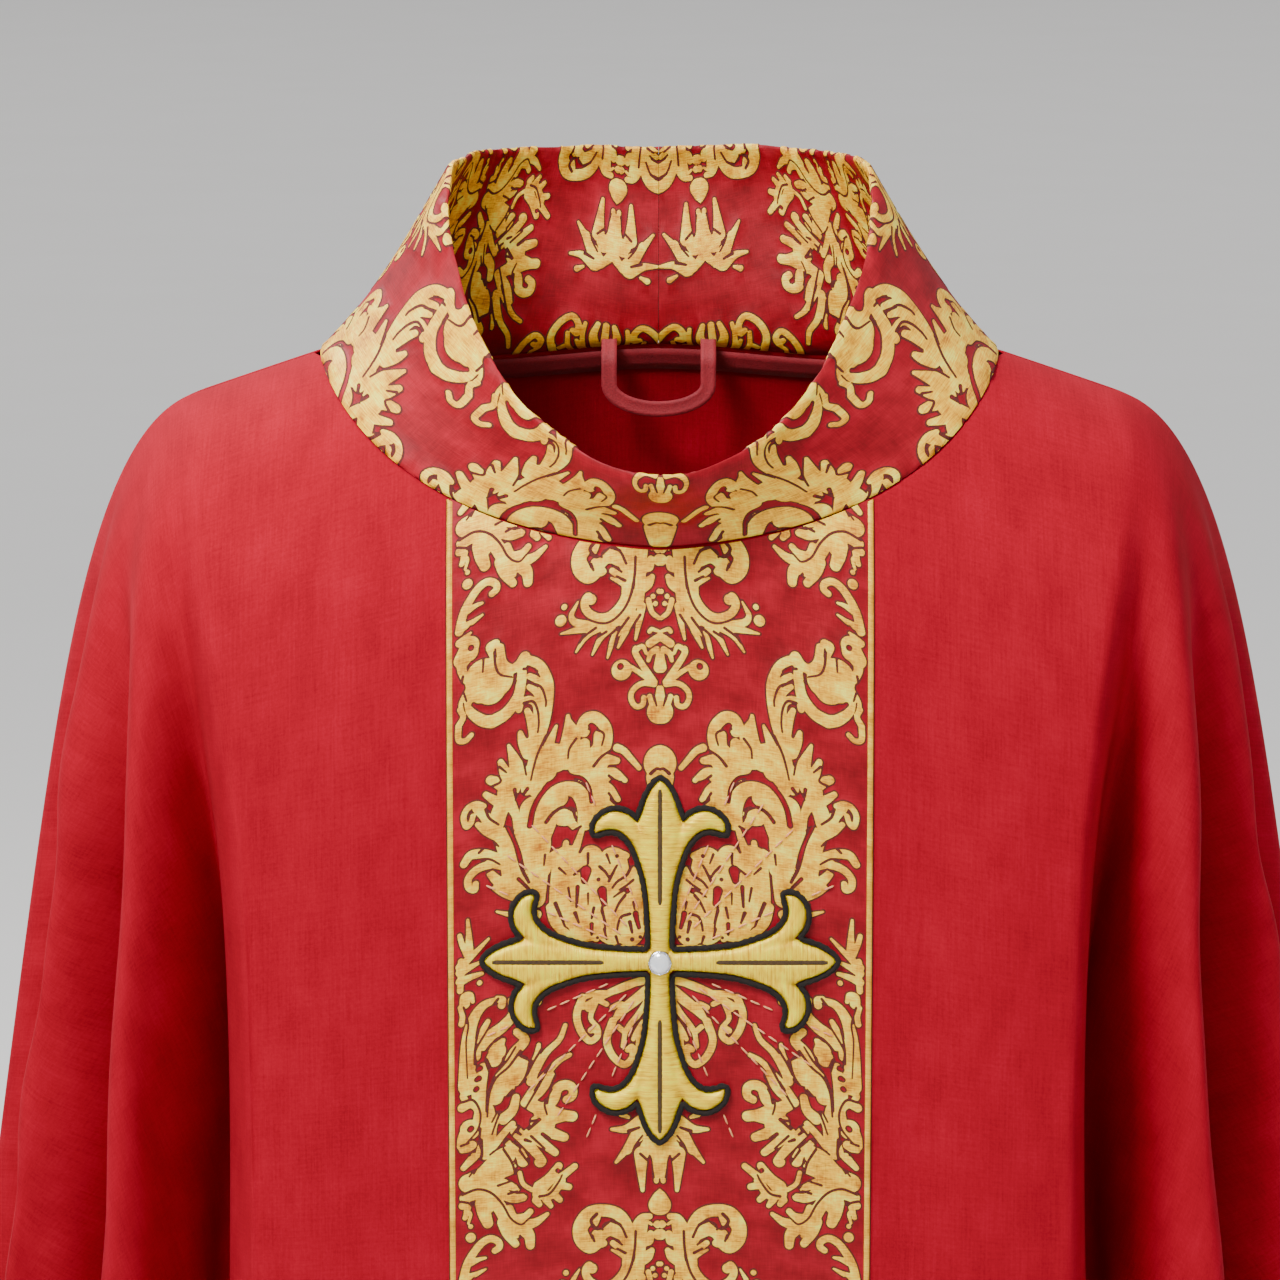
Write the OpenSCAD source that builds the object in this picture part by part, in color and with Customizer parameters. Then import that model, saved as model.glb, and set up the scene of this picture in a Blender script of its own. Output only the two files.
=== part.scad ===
// Gothic chasuble, hung on a wearer's shoulders.
// Origin: middle of the neck opening, just below the collar seam on the shoulder ridge.
// +X is the viewer's right, the front faces -Y, +Z is up. All sizes are in millimetres.

/* [Cut of the cloth] */
// Half of the flat width, from the middle to the end of the arm line
half_width = 750; // [700:10:800]
// Flat length of the front below the shoulder line, at the middle
front_len = 1230; // [1100:10:1350]
// Flat length of the back below the shoulder line, at the middle
back_len = 1260; // [1100:10:1350]
// Thickness that stands in for the cloth
cloth_t = 2; // [1.2:0.2:3]

/* [Drape] */
// Half of the width over the shoulder tips
shoulder_half = 205; // [195:1:215]
// How far the front hangs forward of the shoulder ridge
front_depth = 132; // [115:1:150]
// How far the back hangs behind the shoulder ridge
back_depth = 106; // [90:1:125]
// Folds in each quarter of the drape
folds = 3; // [2:1:3]
// Depth of the folds at the bottom of the arm line
fold_depth = 88; // [40:1:100]

/* [Neck and collar] */
// Half of the neck opening along the shoulder ridge
neck_half = 149; // [140:1:155]
// Flat drop of the neckline at the front
neck_front = 141; // [130:1:155]
// Flat drop of the neckline at the back
neck_back = 78; // [60:1:95]
// Half of the width between the sides of the collar's rim
rim_half = 93; // [90:1:100]
// Height of the collar's rim round the back and sides
rim_back = 87; // [75:1:95]
// Height of the collar's rim at the front
rim_front = -27; // [-32:1:-20]
// Thickness of each layer of the collar
collar_t = 1; // [0.8:0.1:1.2]

/* [Orphrey] */
// Half of the orphrey's width between its braids
orphrey_half = 87; // [80:1:95]
// Width of each braid
braid_w = 3.5; // [2.5:0.5:6]

/* [Cross] */
// Reach of each side arm of the cross from its middle
cross_arm = 76; // [60:1:80]
// How much longer the top and bottom arms are
upright = 1.05; // [1:0.01:1.08]
// Height of the middle of the front cross
cross_z = -239; // [-250:1:-225]
// Height of the middle of the back cross
back_cross_z = -250; // [-270:1:-240]
// Diameter of the stone
stone_d = 8.5; // [6:0.5:10]

/* [Hidden] */

front = -1;
back = 1;
gap = 0.4;
seam_gap = 0.6;
// Flat distance from the shoulder tip at which the arm line ends and the drops hang free
free_at = half_width - shoulder_half;
// Radius of the turn over the shoulder ridge, at the middle and at the sides
turn_mid = 60;
turn_side = 45;
// Half of the flat plane down the middle, low down, and how much wider it is at the shoulder
plane_half = 176;
plane_flare = 25;
// The ridge's rise towards the neck
ridge_slope = 0.36;
ridge_round = 60;
// Extra height over the top of the shoulders
shoulder_lift = 5.5;

// ---------- the draped surface ----------

function tanh(t) = 1 - 2 / (exp(2 * t) + 1);
function clamp01(t) = max(0, min(1, t));
function ease(a, b, t) = let (k = clamp01((t - a) / (b - a))) k * k * (3 - 2 * k);
function unit(p) = p / norm(p);

// Height of the shoulder ridge above the origin
function ridge(x) = ridge_slope * (norm([neck_half, ridge_round]) - norm([x, ridge_round]));

// A point of the cloth that lies at (x, v) on the flat cut, v below the shoulder line.
// Beyond the shoulder tip the cloth hangs in folds that spread from the tip.
function drape(x, v, side) =
    let (
        past = max(abs(x) - shoulder_half, 0),
        d = norm([past, v]),
        angle = d == 0 ? 0 : atan2(past, v),
        along = min(abs(x), shoulder_half) + d * angle * PI / 180,
        all = shoulder_half + d * PI / 2,
        edge = plane_half + plane_flare * exp(-pow(d / 160, 2)),
        u = clamp01((along - edge) / (all - edge)),
        reach = shoulder_half + 45 * (1 - exp(-d / 56)) + 0.13 * d,
        depth = (side == front ? front_depth : back_depth) * tanh(d / 95),
        bend = 1 - exp(-d / 60),
        swing = u + bend * (sin(90 * u) - u),
        fold = fold_depth * ease(40, 420, d) * (1 + 0.0004 * max(d - 500, 0)),
        wave = (1 - cos(360 * folds * u)) / 2,
        px = (u > 0 ? edge + (reach - edge) * swing : abs(x)) - fold * wave * sin(90 * u),
        py = depth * cos(90 * u) - fold * wave * cos(90 * u),
        turn = turn_mid + (turn_side - turn_mid) * u,
        pz = ridge(px) * exp(-pow(d / 350, 2)) + shoulder_lift * exp(-pow(d / 90, 2))
            - (norm([d, turn]) - turn)
    ) [sign(x) * px, side * py, pz];

// The cloth's outward normal at (x, v)
function outward(x, v, side) =
    let (
        e = 0.5,
        a = drape(x + e, v, side) - drape(x - e, v, side),
        b = drape(x, v + e, side) - drape(x, v - e, side)
    ) unit(side * cross(a, b));

// The point at height h above the cloth
function above(x, v, side, h) = drape(x, v, side) + h * outward(x, v, side);

// The flat cut is laid out in columns: each runs straight down from a point of the shoulder
// line, or fans out from the shoulder tip. A column is [where it starts, its angle from down].
function flat(col, d) = [col[0] + d * sin(col[1]), max(d * cos(col[1]), seam_gap)];

// Distance along a column to the neckline and to the hem
function neck_d(col, side) =
    let (t = min(abs(col[0]) / neck_half, 1))
    side == front ? neck_front * pow(1 - pow(t, 1.7), 0.526) : neck_back * sqrt(1 - pow(t, 2.2));
function hem_d(col, side) =
    let (low = (side == front ? front_len : back_len) - 12 * pow(col[0] / shoulder_half, 2))
    free_at + (low - free_at) * pow(cos(col[1]), 3.3);

// ---------- solids over a grid ----------

// A closed solid between two grids of points of the same size
function grid_solid(top, bottom) =
    let (
        n = len(top), m = len(top[0]), k = n * m,
        points = concat([for (r = top) each r], [for (r = bottom) each r]),
        sheet = [for (i = [0:n - 2], j = [0:m - 2]) [i * m + j, i * m + j + 1, i * m + m + j + 1, i * m + m + j]],
        rim = concat(
            [for (j = [0:m - 2]) [j, j + 1]],
            [for (i = [0:n - 2]) [i * m + m - 1, i * m + 2 * m - 1]],
            [for (j = [m - 1:-1:1]) [(n - 1) * m + j, (n - 1) * m + j - 1]],
            [for (i = [n - 1:-1:1]) [i * m, i * m - m]]
        ),
        faces = concat(
            [for (f = sheet) each [[f[0], f[1], f[2]], [f[0], f[2], f[3]]]],
            [for (f = sheet) each [[f[2] + k, f[1] + k, f[0] + k], [f[3] + k, f[2] + k, f[0] + k]]],
            [for (e = rim) each [[e[1], e[0], e[0] + k], [e[1], e[0] + k, e[1] + k]]]
        )
    ) [points, faces];

// A layer of cloth between the heights lo and hi. place(i, col) is the distance of row i along
// the column col. Layers that lie on each other share their rows and columns.
module layer(side, cols, place, rows, lo, hi) {
    function at(i, col, h) = let (p = flat(col, place(i, col))) above(p[0], p[1], side, h);
    inner = [for (i = [0:rows]) [for (c = cols) at(i, c, lo)]];
    outer = [for (i = [0:rows]) [for (c = cols) at(i, c, hi)]];
    s = side == front ? grid_solid(inner, outer) : grid_solid(outer, inner);
    polyhedron(s[0], s[1], convexity = 10);
}

// Columns across the whole width: straight ones at xs, then a fan of angles on each side
fan_step = 30 / folds / 2.67;
function columns(xs, last) =
    let (half = concat([for (x = xs) [x, 0]], [for (a = [fan_step:fan_step:last + 0.01]) [shoulder_half, a]]))
    concat([for (j = [len(half) - 1:-1:1]) -half[j]], half);
third = orphrey_half / 3;
in_neck = [0, third, 2 * third, orphrey_half, 110, 128, 141];
near_neck = concat(in_neck, [neck_half, 165, 180, 192, shoulder_half]);
low_down = [0, third, 2 * third, orphrey_half, 120, 160, 180, shoulder_half];
// The last column of the fan that belongs to the drop: past it the cuff edge stays above
drop_last = 19 * fan_step;

// Upper cloth, from the neckline and arm line down to where the drops begin: a narrow first
// row, which a layer may enter late, then wider rows
upper_rows = 12;
first_row = 15;
module upper_layer(side, cols, lo, hi, late = 0) {
    function last(col) = abs(col[1]) > drop_last ? hem_d(col, side) : free_at;
    place = function(i, col)
        let (top = neck_d(col, side) + 1, k = pow((i - 1) / (upper_rows - 1), 1.3))
        i == 0 ? top + late : (top + first_row) * (1 - k) + last(col) * k;
    layer(side, cols, place, upper_rows, lo, hi);
}

// Free-hanging cloth, down to the hem
drop_rows = 8;
module drop_layer(side, cols, lo, hi, short = 0) {
    place = function(i, col)
        let (end = hem_d(col, side))
        free_at + 1 + (end - free_at - 1) * i / drop_rows - (i == drop_rows ? short : 0);
    layer(side, cols, place, drop_rows, lo, hi);
}

module panel(side) {
    color("crimson") upper_layer(side, columns(near_neck, 90), -cloth_t, 0);
}

module drop_panel(side) {
    color("crimson") drop_layer(side, columns(low_down, drop_last), -cloth_t, 0);
}

// Turned-up hem, inside the lower edge
hem_turn = 20;
hem_t = 1;
inside = -cloth_t - 2 * gap;
module hem_facing(side) {
    place = function(i, col)
        let (end = hem_d(col, side)) i == 0 ? max(end - hem_turn, free_at + 3) : end - 1;
    color("firebrick")
        layer(side, columns(low_down, drop_last), place, 1, inside - hem_t, inside);
}

// Tape over the raw edge inside the neckline
tape_w = 11;
tape_t = 0.8;
module neck_tape() {
    color("darkred") for (side = [front, back])
        layer(side, columns(in_neck, 0), function(i, col) neck_d(col, side) + 2 + i * tape_w,
              1, inside - tape_t, inside);
}

// ---------- collar ----------

// Seam line of the collar at angle a round the neck, from the middle of the front
function seam(a) =
    let (x = neck_half * sin(a), side = cos(a) > 0 ? front : back)
    drape(x, neck_d([x, 0], side), side);

// Folded top edge of the collar: level round the back and sides, low at the front, where it leans out
function rim(a) =
    let (c = cos(a), low = pow(max(0, (c + 0.15) / 1.15), 1.3))
    [rim_half * sin(a) * (1 + 0.08 * c * c), -10 - 112.5 * c - 27.5 * c * c,
     rim_back - (rim_back - rim_front) * low];

// The collar between its seam (t = 0) and its rim (t = 1)
function band(a, t) =
    let (
        s = seam(a), r = rim(a),
        q = ease(15, 80, min(a, 360 - a)),
        w = [-sin(a), cos(a), 0],
        p = s + w * 18 * q + [0, 0, 15],
        o = r + w * (6 - 18 * q) - [0, 0, 12 + 8 * q],
        k = 1 - t
    ) k * k * k * s + 3 * k * k * t * p + 3 * k * t * t * o + t * t * t * r;

function band_out(a, t) =
    let (
        e = 0.02,
        along = band(a + 1, t) - band(a - 1, t),
        up = band(a, min(t + e, 1)) - band(a, max(t - e, 0))
    ) unit(cross(along, up));

// A closed ring between the heights lo and hi over the collar's middle surface. It starts just
// above the seam.
band_start = 0.04;
module band_layer(lo, hi) {
    steps = 60;
    rows = 5;
    n = rows + 1;
    function ring(h) = [for (j = [0:steps - 1], i = [0:rows])
        let (a = 360 * j / steps, t = band_start + (1 - band_start) * i / rows)
        band(a, t) + h * band_out(a, t)];
    k = steps * n;
    function at(j, i, s) = s * k + (j % steps) * n + i;
    faces = [for (j = [0:steps - 1]) each concat(
        [for (i = [0:rows - 1]) each [
            [at(j, i, 0), at(j, i + 1, 0), at(j + 1, i + 1, 0)],
            [at(j, i, 0), at(j + 1, i + 1, 0), at(j + 1, i, 0)],
            [at(j + 1, i + 1, 1), at(j, i + 1, 1), at(j, i, 1)],
            [at(j + 1, i, 1), at(j + 1, i + 1, 1), at(j, i, 1)]]],
        [[at(j, 0, 0), at(j + 1, 0, 0), at(j + 1, 0, 1)], [at(j, 0, 0), at(j + 1, 0, 1), at(j, 0, 1)],
         [at(j + 1, rows, 0), at(j, rows, 0), at(j, rows, 1)],
         [at(j + 1, rows, 0), at(j, rows, 1), at(j + 1, rows, 1)]]
    )];
    polyhedron(concat(ring(lo), ring(hi)), faces, convexity = 6);
}

collar_gap = 0.3;
module collar_outer() {
    color("goldenrod")
        band_layer(collar_t / 2 + collar_gap, collar_t * 1.5 + collar_gap);
}

module collar_canvas() {
    color("linen") band_layer(-collar_t / 2, collar_t / 2);
}

module collar_facing() {
    color("darkgoldenrod")
        band_layer(-collar_t * 1.5 - collar_gap, -collar_t / 2 - collar_gap);
}

// ---------- orphrey ----------

lining_t = 0.5;
orphrey_t = 0.8;
lining_cols = columns([0, third, 2 * third, orphrey_half - 2], 0);
orphrey_cols = columns([0, third, 2 * third, orphrey_half], 0);
// How far below the neckline the layers of the orphrey begin, clear of the collar
late_start = 3;
orphrey_lo = 2 * gap + lining_t;
orphrey_top = orphrey_lo + orphrey_t;

module interlining(side) {
    color("ivory") upper_layer(side, lining_cols, gap, gap + lining_t, late_start);
}

module drop_interlining(side) {
    color("ivory") drop_layer(side, lining_cols, gap, gap + lining_t, 4);
}

module orphrey(side) {
    color("gold") upper_layer(side, orphrey_cols, orphrey_lo, orphrey_top, late_start);
}

module drop_orphrey(side) {
    color("gold") drop_layer(side, orphrey_cols, orphrey_lo, orphrey_top, 2);
}

braid_in = orphrey_half + gap;
braid_out = braid_in + braid_w;
function braid_cols(hand) = hand < 0 ? [[-braid_out, 0], [-braid_in, 0]] : [[braid_in, 0], [braid_out, 0]];

module braid(side, hand) {
    color("khaki") upper_layer(side, braid_cols(hand), gap, orphrey_top + 0.3, late_start);
}

module drop_braid(side, hand) {
    color("khaki") drop_layer(side, braid_cols(hand), gap, orphrey_top + 0.3, 2);
}

// ---------- cross ----------

pad_t = 1.2;
arm_t = 1.4;
outline_t = 2;
// Half of one arm's outline, pointing up: stem, side petal that curls outward, pointed petal
arm_half = [
    [4, 5.5], [4.2, 12], [4.7, 21], [5.9, 32], [8.5, 41], [10.8, 47], [13.6, 51], [16.8, 53.6], [20, 54.6],
    [23.3, 54.4], [28.2, 52.8], [27.4, 57.6], [24.1, 60.9], [20.1, 62.5], [16, 62.1], [12.7, 60.5],
    [9.6, 57.5], [7.8, 61.7], [5.9, 67.4], [3.2, 72.3], [0, 75.5]
];
n_half = len(arm_half);
cross_points = [for (q = [0:3], j = [0:2 * n_half - 2])
    let (
        p = j < n_half ? arm_half[j] : [-arm_half[2 * n_half - 2 - j][0], arm_half[2 * n_half - 2 - j][1]],
        k = cross_arm / 75.5
    ) k * [p[0] * cos(90 * q) - p[1] * sin(90 * q),
           upright * (p[0] * sin(90 * q) + p[1] * cos(90 * q))]];

// The whole cross, with its outline moved outward by g
module cross_shape(g) {
    n = len(cross_points);
    polygon([for (i = [0:n - 1])
        let (
            a = unit(cross_points[(i + 1) % n] - cross_points[i]),
            b = unit(cross_points[i] - cross_points[(i + n - 1) % n]),
            m = unit(a + b)
        ) cross_points[i] + g * [m[1], -m[0]]]);
}

module in_front(side, z, y) {
    translate([0, side * y, z]) rotate([90, 0, side == front ? 0 : 180]) children();
}

// The foremost height of the orphrey behind the cross
front_face = front_depth + orphrey_top + gap;
back_face = back_depth + orphrey_top + gap;

module cross_part(side, z, face, lo, hi) {
    in_front(side, z, face + lo) linear_extrude(hi - lo) children();
}

module padding(side, z, face) {
    color("wheat") cross_part(side, z, face, 0, pad_t) cross_shape(-1.2);
}

// The satin-stitched face of one arm
module arm(side, z, face, q) {
    wide = cross_arm * upright;
    color("gold") cross_part(side, z, face, pad_t + gap, pad_t + gap + arm_t)
        difference() {
            intersection() {
                cross_shape(0);
                rotate(90 * q) polygon([[0, gap], [wide, wide + gap], [-wide, wide + gap]]);
            }
            circle(r = stone_d / 2 + 1 + gap, $fn = 32);
        }
}

// Black cord couched round the whole cross
module outline(side, z, face) {
    color("black") cross_part(side, z, face, 0, outline_t)
        difference() {
            cross_shape(2.4);
            cross_shape(0.4);
        }
}

module setting(side, z, face) {
    color("silver") in_front(side, z, face + pad_t + gap) rotate_extrude($fn = 48)
        polygon([[stone_d / 2 - 1.2, 0], [stone_d / 2 + 1, 0], [stone_d / 2 + 0.7, 2.2],
                 [stone_d / 2 + 0.15, 2.2], [stone_d / 2 - 0.2, 1.2], [stone_d / 2 - 1.2, 1.2]]);
}

module gem(side, z, face) {
    color("white") in_front(side, z, face + pad_t + gap + 1.3) {
        cylinder(d1 = stone_d - 1, d2 = stone_d - 0.5, h = 0.8, $fn = 12);
        translate([0, 0, 0.8]) cylinder(d1 = stone_d - 0.5, d2 = stone_d * 0.55, h = 1.5, $fn = 12);
    }
}

// Dashed rays between the arms: a row of short stitches along each
stitch_l = 4.4;
stitch_pitch = 6;
// Each ray's angle and where its runs of stitches start and stop
ray_runs = [[23, 24, 50], [23, 70, 78], [44, 20, 76], [56, 20, 76], [67, 24, 50], [67, 70, 78]];
module rays(side, z, face) {
    color("khaki") in_front(side, z, face) scale([1, upright, 1])
        for (q = [0:3], run = ray_runs) rotate(90 * q + run[0])
            for (r = [run[1]:stitch_pitch:run[2]]) translate([r, -0.4, 0]) cube([stitch_l, 0.8, 0.7]);
}

// ---------- hanging loop ----------

loop_w = 52;
loop_h = 34;
ribbon_w = 7;
loop_y = 59;
module hanging_loop() {
    color("maroon") translate([0, loop_y + 1, 4]) rotate([90, 0, 0]) linear_extrude(1)
        difference() {
            union() {
                translate([-loop_w / 2, -loop_h + loop_w / 4]) square([loop_w, loop_h - loop_w / 4]);
                translate([0, -loop_h + loop_w / 4]) scale([1, 0.5]) circle(d = loop_w, $fn = 64);
            }
            translate([-loop_w / 2 + ribbon_w, -loop_h + loop_w / 4])
                square([loop_w - 2 * ribbon_w, loop_h]);
            translate([0, -loop_h + loop_w / 4]) scale([1, 0.36]) circle(d = loop_w - 2 * ribbon_w, $fn = 64);
        }
}

panel(front);  // front_panel
drop_panel(front);  // front_drop_panel
panel(back);  // back_panel
drop_panel(back);  // back_drop_panel
hem_facing(front);  // front_hem_facing
hem_facing(back);  // back_hem_facing
neck_tape();
collar_outer();
collar_canvas();
collar_facing();
orphrey(front);  // front_orphrey
drop_orphrey(front);  // front_drop_orphrey
orphrey(back);  // back_orphrey
drop_orphrey(back);  // back_drop_orphrey
interlining(front);  // front_interlining
drop_interlining(front);  // front_drop_interlining
interlining(back);  // back_interlining
drop_interlining(back);  // back_drop_interlining
braid(front, -1);  // front_braid_left
braid(front, 1);  // front_braid_right
drop_braid(front, -1);  // front_drop_braid_left
drop_braid(front, 1);  // front_drop_braid_right
braid(back, -1);  // back_braid_left
braid(back, 1);  // back_braid_right
drop_braid(back, -1);  // back_drop_braid_left
drop_braid(back, 1);  // back_drop_braid_right
padding(front, cross_z, front_face);  // cross_padding
arm(front, cross_z, front_face, 0);  // cross_arm_top
arm(front, cross_z, front_face, 2);  // cross_arm_bottom
arm(front, cross_z, front_face, 1);  // cross_arm_left
arm(front, cross_z, front_face, 3);  // cross_arm_right
outline(front, cross_z, front_face);  // cross_outline
setting(front, cross_z, front_face);  // stone_setting
gem(front, cross_z, front_face);  // stone
rays(front, cross_z, front_face);  // ray_stitches
padding(back, back_cross_z, back_face);  // back_cross_padding
for (q = [0:3]) arm(back, back_cross_z, back_face, q);  // back_cross_arms
outline(back, back_cross_z, back_face);  // back_cross_outline
setting(back, back_cross_z, back_face);  // back_stone_setting
gem(back, back_cross_z, back_face);  // back_stone
rays(back, back_cross_z, back_face);  // back_ray_stitches
hanging_loop();
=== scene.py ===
import math

import bmesh
import bpy
import numpy as np
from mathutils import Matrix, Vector
from mathutils.geometry import delaunay_2d_cdt


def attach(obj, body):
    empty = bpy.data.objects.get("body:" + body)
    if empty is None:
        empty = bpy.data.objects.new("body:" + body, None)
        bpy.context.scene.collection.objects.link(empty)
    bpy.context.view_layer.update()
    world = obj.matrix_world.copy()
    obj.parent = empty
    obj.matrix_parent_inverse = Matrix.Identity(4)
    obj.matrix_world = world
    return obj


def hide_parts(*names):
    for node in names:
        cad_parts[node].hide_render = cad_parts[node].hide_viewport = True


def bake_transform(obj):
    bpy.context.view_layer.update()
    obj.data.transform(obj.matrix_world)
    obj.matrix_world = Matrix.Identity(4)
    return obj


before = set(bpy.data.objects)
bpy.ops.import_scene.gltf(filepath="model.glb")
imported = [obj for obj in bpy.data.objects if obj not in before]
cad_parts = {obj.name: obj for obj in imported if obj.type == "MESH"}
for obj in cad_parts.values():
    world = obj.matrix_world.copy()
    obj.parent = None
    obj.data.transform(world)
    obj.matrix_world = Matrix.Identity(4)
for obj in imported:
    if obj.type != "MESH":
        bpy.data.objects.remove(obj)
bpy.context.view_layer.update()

# The cloth is worked out in millimetres, as on a pattern sheet. make_mesh turns it into metres.
MM = 0.001
FRONT, BACK = -1, 1
SIDES = {FRONT: "front", BACK: "back"}

# Cut and drape, as in the CAD model
SHOULDER_HALF = 205
DEPTH = {FRONT: 132, BACK: 106}
LENGTH = {FRONT: 1230, BACK: 1260}
NECK_HALF = 149
NECK_DROP = {FRONT: 141, BACK: 78}
FREE_AT = 545
PLANE_HALF, PLANE_FLARE = 176, 25
TURN_MID, TURN_SIDE = 60, 45
RIDGE_SLOPE, RIDGE_ROUND = 0.36, 60
SHOULDER_LIFT = 5.5
FOLDS, FOLD_DEPTH = 3, 88
CROSS_Z = {FRONT: -239, BACK: -250}
UPRIGHT = 1.05
HEM_TURN = 20

# Heights above the main cloth's face, and the two faces of the turned hem behind it
CLOTH_T = 1.0
LINING_LO, LINING_HI = 0.15, 0.6
GROUND_H = 1.1
FIGURE_H = 0.28
CROSS_H = 1.7
HEM_FAR, HEM_NEAR = -CLOTH_T - 1, -CLOTH_T - 0.15
ORPHREY_HALF = 88.8
BRAID_IN = 87.4
LINING_HALF = 85
TRIM_GAP = 1.5


# ---------- the draped cloth ----------

def ease(a, b, t):
    k = np.clip((t - a) / (b - a), 0, 1)
    return k * k * (3 - 2 * k)


def ridge(x):
    """Height of the shoulder ridge above the origin."""
    return RIDGE_SLOPE * (math.hypot(NECK_HALF, RIDGE_ROUND) - np.hypot(x, RIDGE_ROUND))


def hang(x, v, side):
    """The CAD model's surface: where the point (x, v) of the flat cut lies, v below the shoulder.
    It isn't true to length: across the folds it takes up 60 to 92 % of the flat cut's width."""
    x, v = np.broadcast_arrays(np.asarray(x, float), np.asarray(v, float))
    past = np.maximum(np.abs(x) - SHOULDER_HALF, 0)
    d = np.hypot(past, v)
    angle = np.arctan2(past, v)
    along = np.minimum(np.abs(x), SHOULDER_HALF) + d * angle
    edge = PLANE_HALF + PLANE_FLARE * np.exp(-((d / 160) ** 2))
    u = np.clip((along - edge) / (SHOULDER_HALF + d * math.pi / 2 - edge), 0, 1)
    reach = SHOULDER_HALF + 45 * (1 - np.exp(-d / 56)) + 0.13 * d
    depth = DEPTH[side] * np.tanh(d / 95)
    swing = u + (1 - np.exp(-d / 60)) * (np.sin(u * math.pi / 2) - u)
    fold = FOLD_DEPTH * ease(40, 420, d) * (1 + 0.0004 * np.maximum(d - 500, 0))
    wave = fold * (1 - np.cos(2 * math.pi * FOLDS * u)) / 2
    px = np.where(u > 0, edge + (reach - edge) * swing, np.abs(x)) - wave * np.sin(u * math.pi / 2)
    py = (depth - wave) * np.cos(u * math.pi / 2)
    turn = TURN_MID + (TURN_SIDE - TURN_MID) * u
    pz = ridge(px) * np.exp(-((d / 350) ** 2)) + SHOULDER_LIFT * np.exp(-((d / 90) ** 2))
    pz = pz - (np.hypot(d, turn) - turn)
    return np.stack([np.sign(x) * px, side * py, pz], -1)


def normals_of(place, x, v, side, e=0.5):
    a = place(x + e, v, side) - place(x - e, v, side)
    b = place(x, v + e, side) - place(x, np.maximum(v - e, 0), side)
    n = side * np.cross(a, b)
    return n / np.linalg.norm(n, axis=-1, keepdims=True)


def unevenness(x, v, side):
    """How far real cloth strays from the smooth drape: slack beside the orphrey and creases between the
    folds, none at the joined edges."""
    past = np.maximum(np.abs(x) - SHOULDER_HALF, 0)
    d = np.hypot(past, v)
    angle = np.arctan2(past, v)
    free = ease(60, 260, d) * ease(88, 125, np.abs(x)) * (1 - ease(1.35, 1.55, angle))
    crease = 4.5 * ease(250, 850, d) * ease(0, 0.15, angle) * np.sin(62 * angle + 2 * np.sin(d / 330) + side)
    slack = 1.5 * np.sin(x / 21 + v / 160 + 1.3 * side) + 1.1 * np.sin(x / 34 - v / 95 + 0.8)
    slack = slack + 0.8 * np.sin(x / 11.5 + v / 300 - side)
    ripple = 0.5 * np.sin(v / 47 + x / 60) * ease(120, 300, v)
    return free * (slack + crease) + 0.5 * ripple


def cloth(x, v, side):
    x, v = np.broadcast_arrays(np.asarray(x, float), np.asarray(v, float))
    return hang(x, v, side) + normals_of(hang, x, v, side) * unevenness(x, v, side)[..., None]


def above(x, v, side, h):
    """The point at height h above the cloth's face."""
    x, v, h = np.broadcast_arrays(*(np.asarray(t, float) for t in (x, v, h)))
    return cloth(x, v, side) + h[..., None] * normals_of(cloth, x, v, side)


def neck_v(x, side):
    """How far below the shoulder line the neckline lies."""
    t = np.minimum(np.abs(x) / NECK_HALF, 1)
    if side == FRONT:
        return NECK_DROP[side] * (1 - t**1.7) ** 0.526
    return NECK_DROP[side] * np.sqrt(1 - t**2.2)


def hem_d(x, angle, side):
    low = LENGTH[side] - 12 * (np.minimum(np.abs(x), SHOULDER_HALF) / SHOULDER_HALF) ** 2
    return FREE_AT + (low - FREE_AT) * np.cos(angle) ** 3.3


def columns(straight, fan):
    """Columns of the flat cut: straight ones, then a fan from each shoulder tip, as (start, angle)."""
    a = np.linspace(0, math.pi / 2, fan + 1)[1:]
    x = np.linspace(-SHOULDER_HALF, SHOULDER_HALF, straight)
    start = np.concatenate([np.full(fan, -SHOULDER_HALF), x, np.full(fan, SHOULDER_HALF)])
    return start, np.concatenate([-a[::-1], np.zeros(straight), a])


def along_column(start, angle, d):
    return start + d * np.sin(angle), np.maximum(d * np.cos(angle), 0.6)


# ---------- meshes ----------

def make_mesh(name, points, faces, mats, face_mats=None, uv=None, smooth=True):
    """A mesh object from points in millimetres. uv gives each point's place on the flat cloth."""
    mesh = bpy.data.meshes.new(name)
    mesh.from_pydata((np.asarray(points) * MM).tolist(), [], faces)
    for mat in mats:
        mesh.materials.append(mat)
    if face_mats is not None:
        mesh.polygons.foreach_set("material_index", np.asarray(face_mats, np.int32))
    if uv is not None:
        layer = mesh.uv_layers.new(name="cloth")
        corners = np.empty(len(mesh.loops), np.int32)
        mesh.loops.foreach_get("vertex_index", corners)
        layer.data.foreach_set("uv", (np.asarray(uv)[corners] * MM).astype(np.float32).ravel())
    mesh.polygons.foreach_set("use_smooth", np.full(len(mesh.polygons), smooth))
    mesh.validate()
    mesh.update()
    obj = bpy.data.objects.new(name, mesh)
    bpy.context.scene.collection.objects.link(obj)
    return obj


def grid_faces(n, m, flip=False, base=0, wrap=False):
    """Quads over n rows of m points; wrap joins the last row to the first."""
    i, j = np.meshgrid(np.arange(n if wrap else n - 1), np.arange(m - 1), indexing="ij")
    k = (i + 1) % n
    quads = np.stack([i * m + j, i * m + j + 1, k * m + j + 1, k * m + j], -1).reshape(-1, 4) + base
    return quads[:, ::-1] if flip else quads


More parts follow.
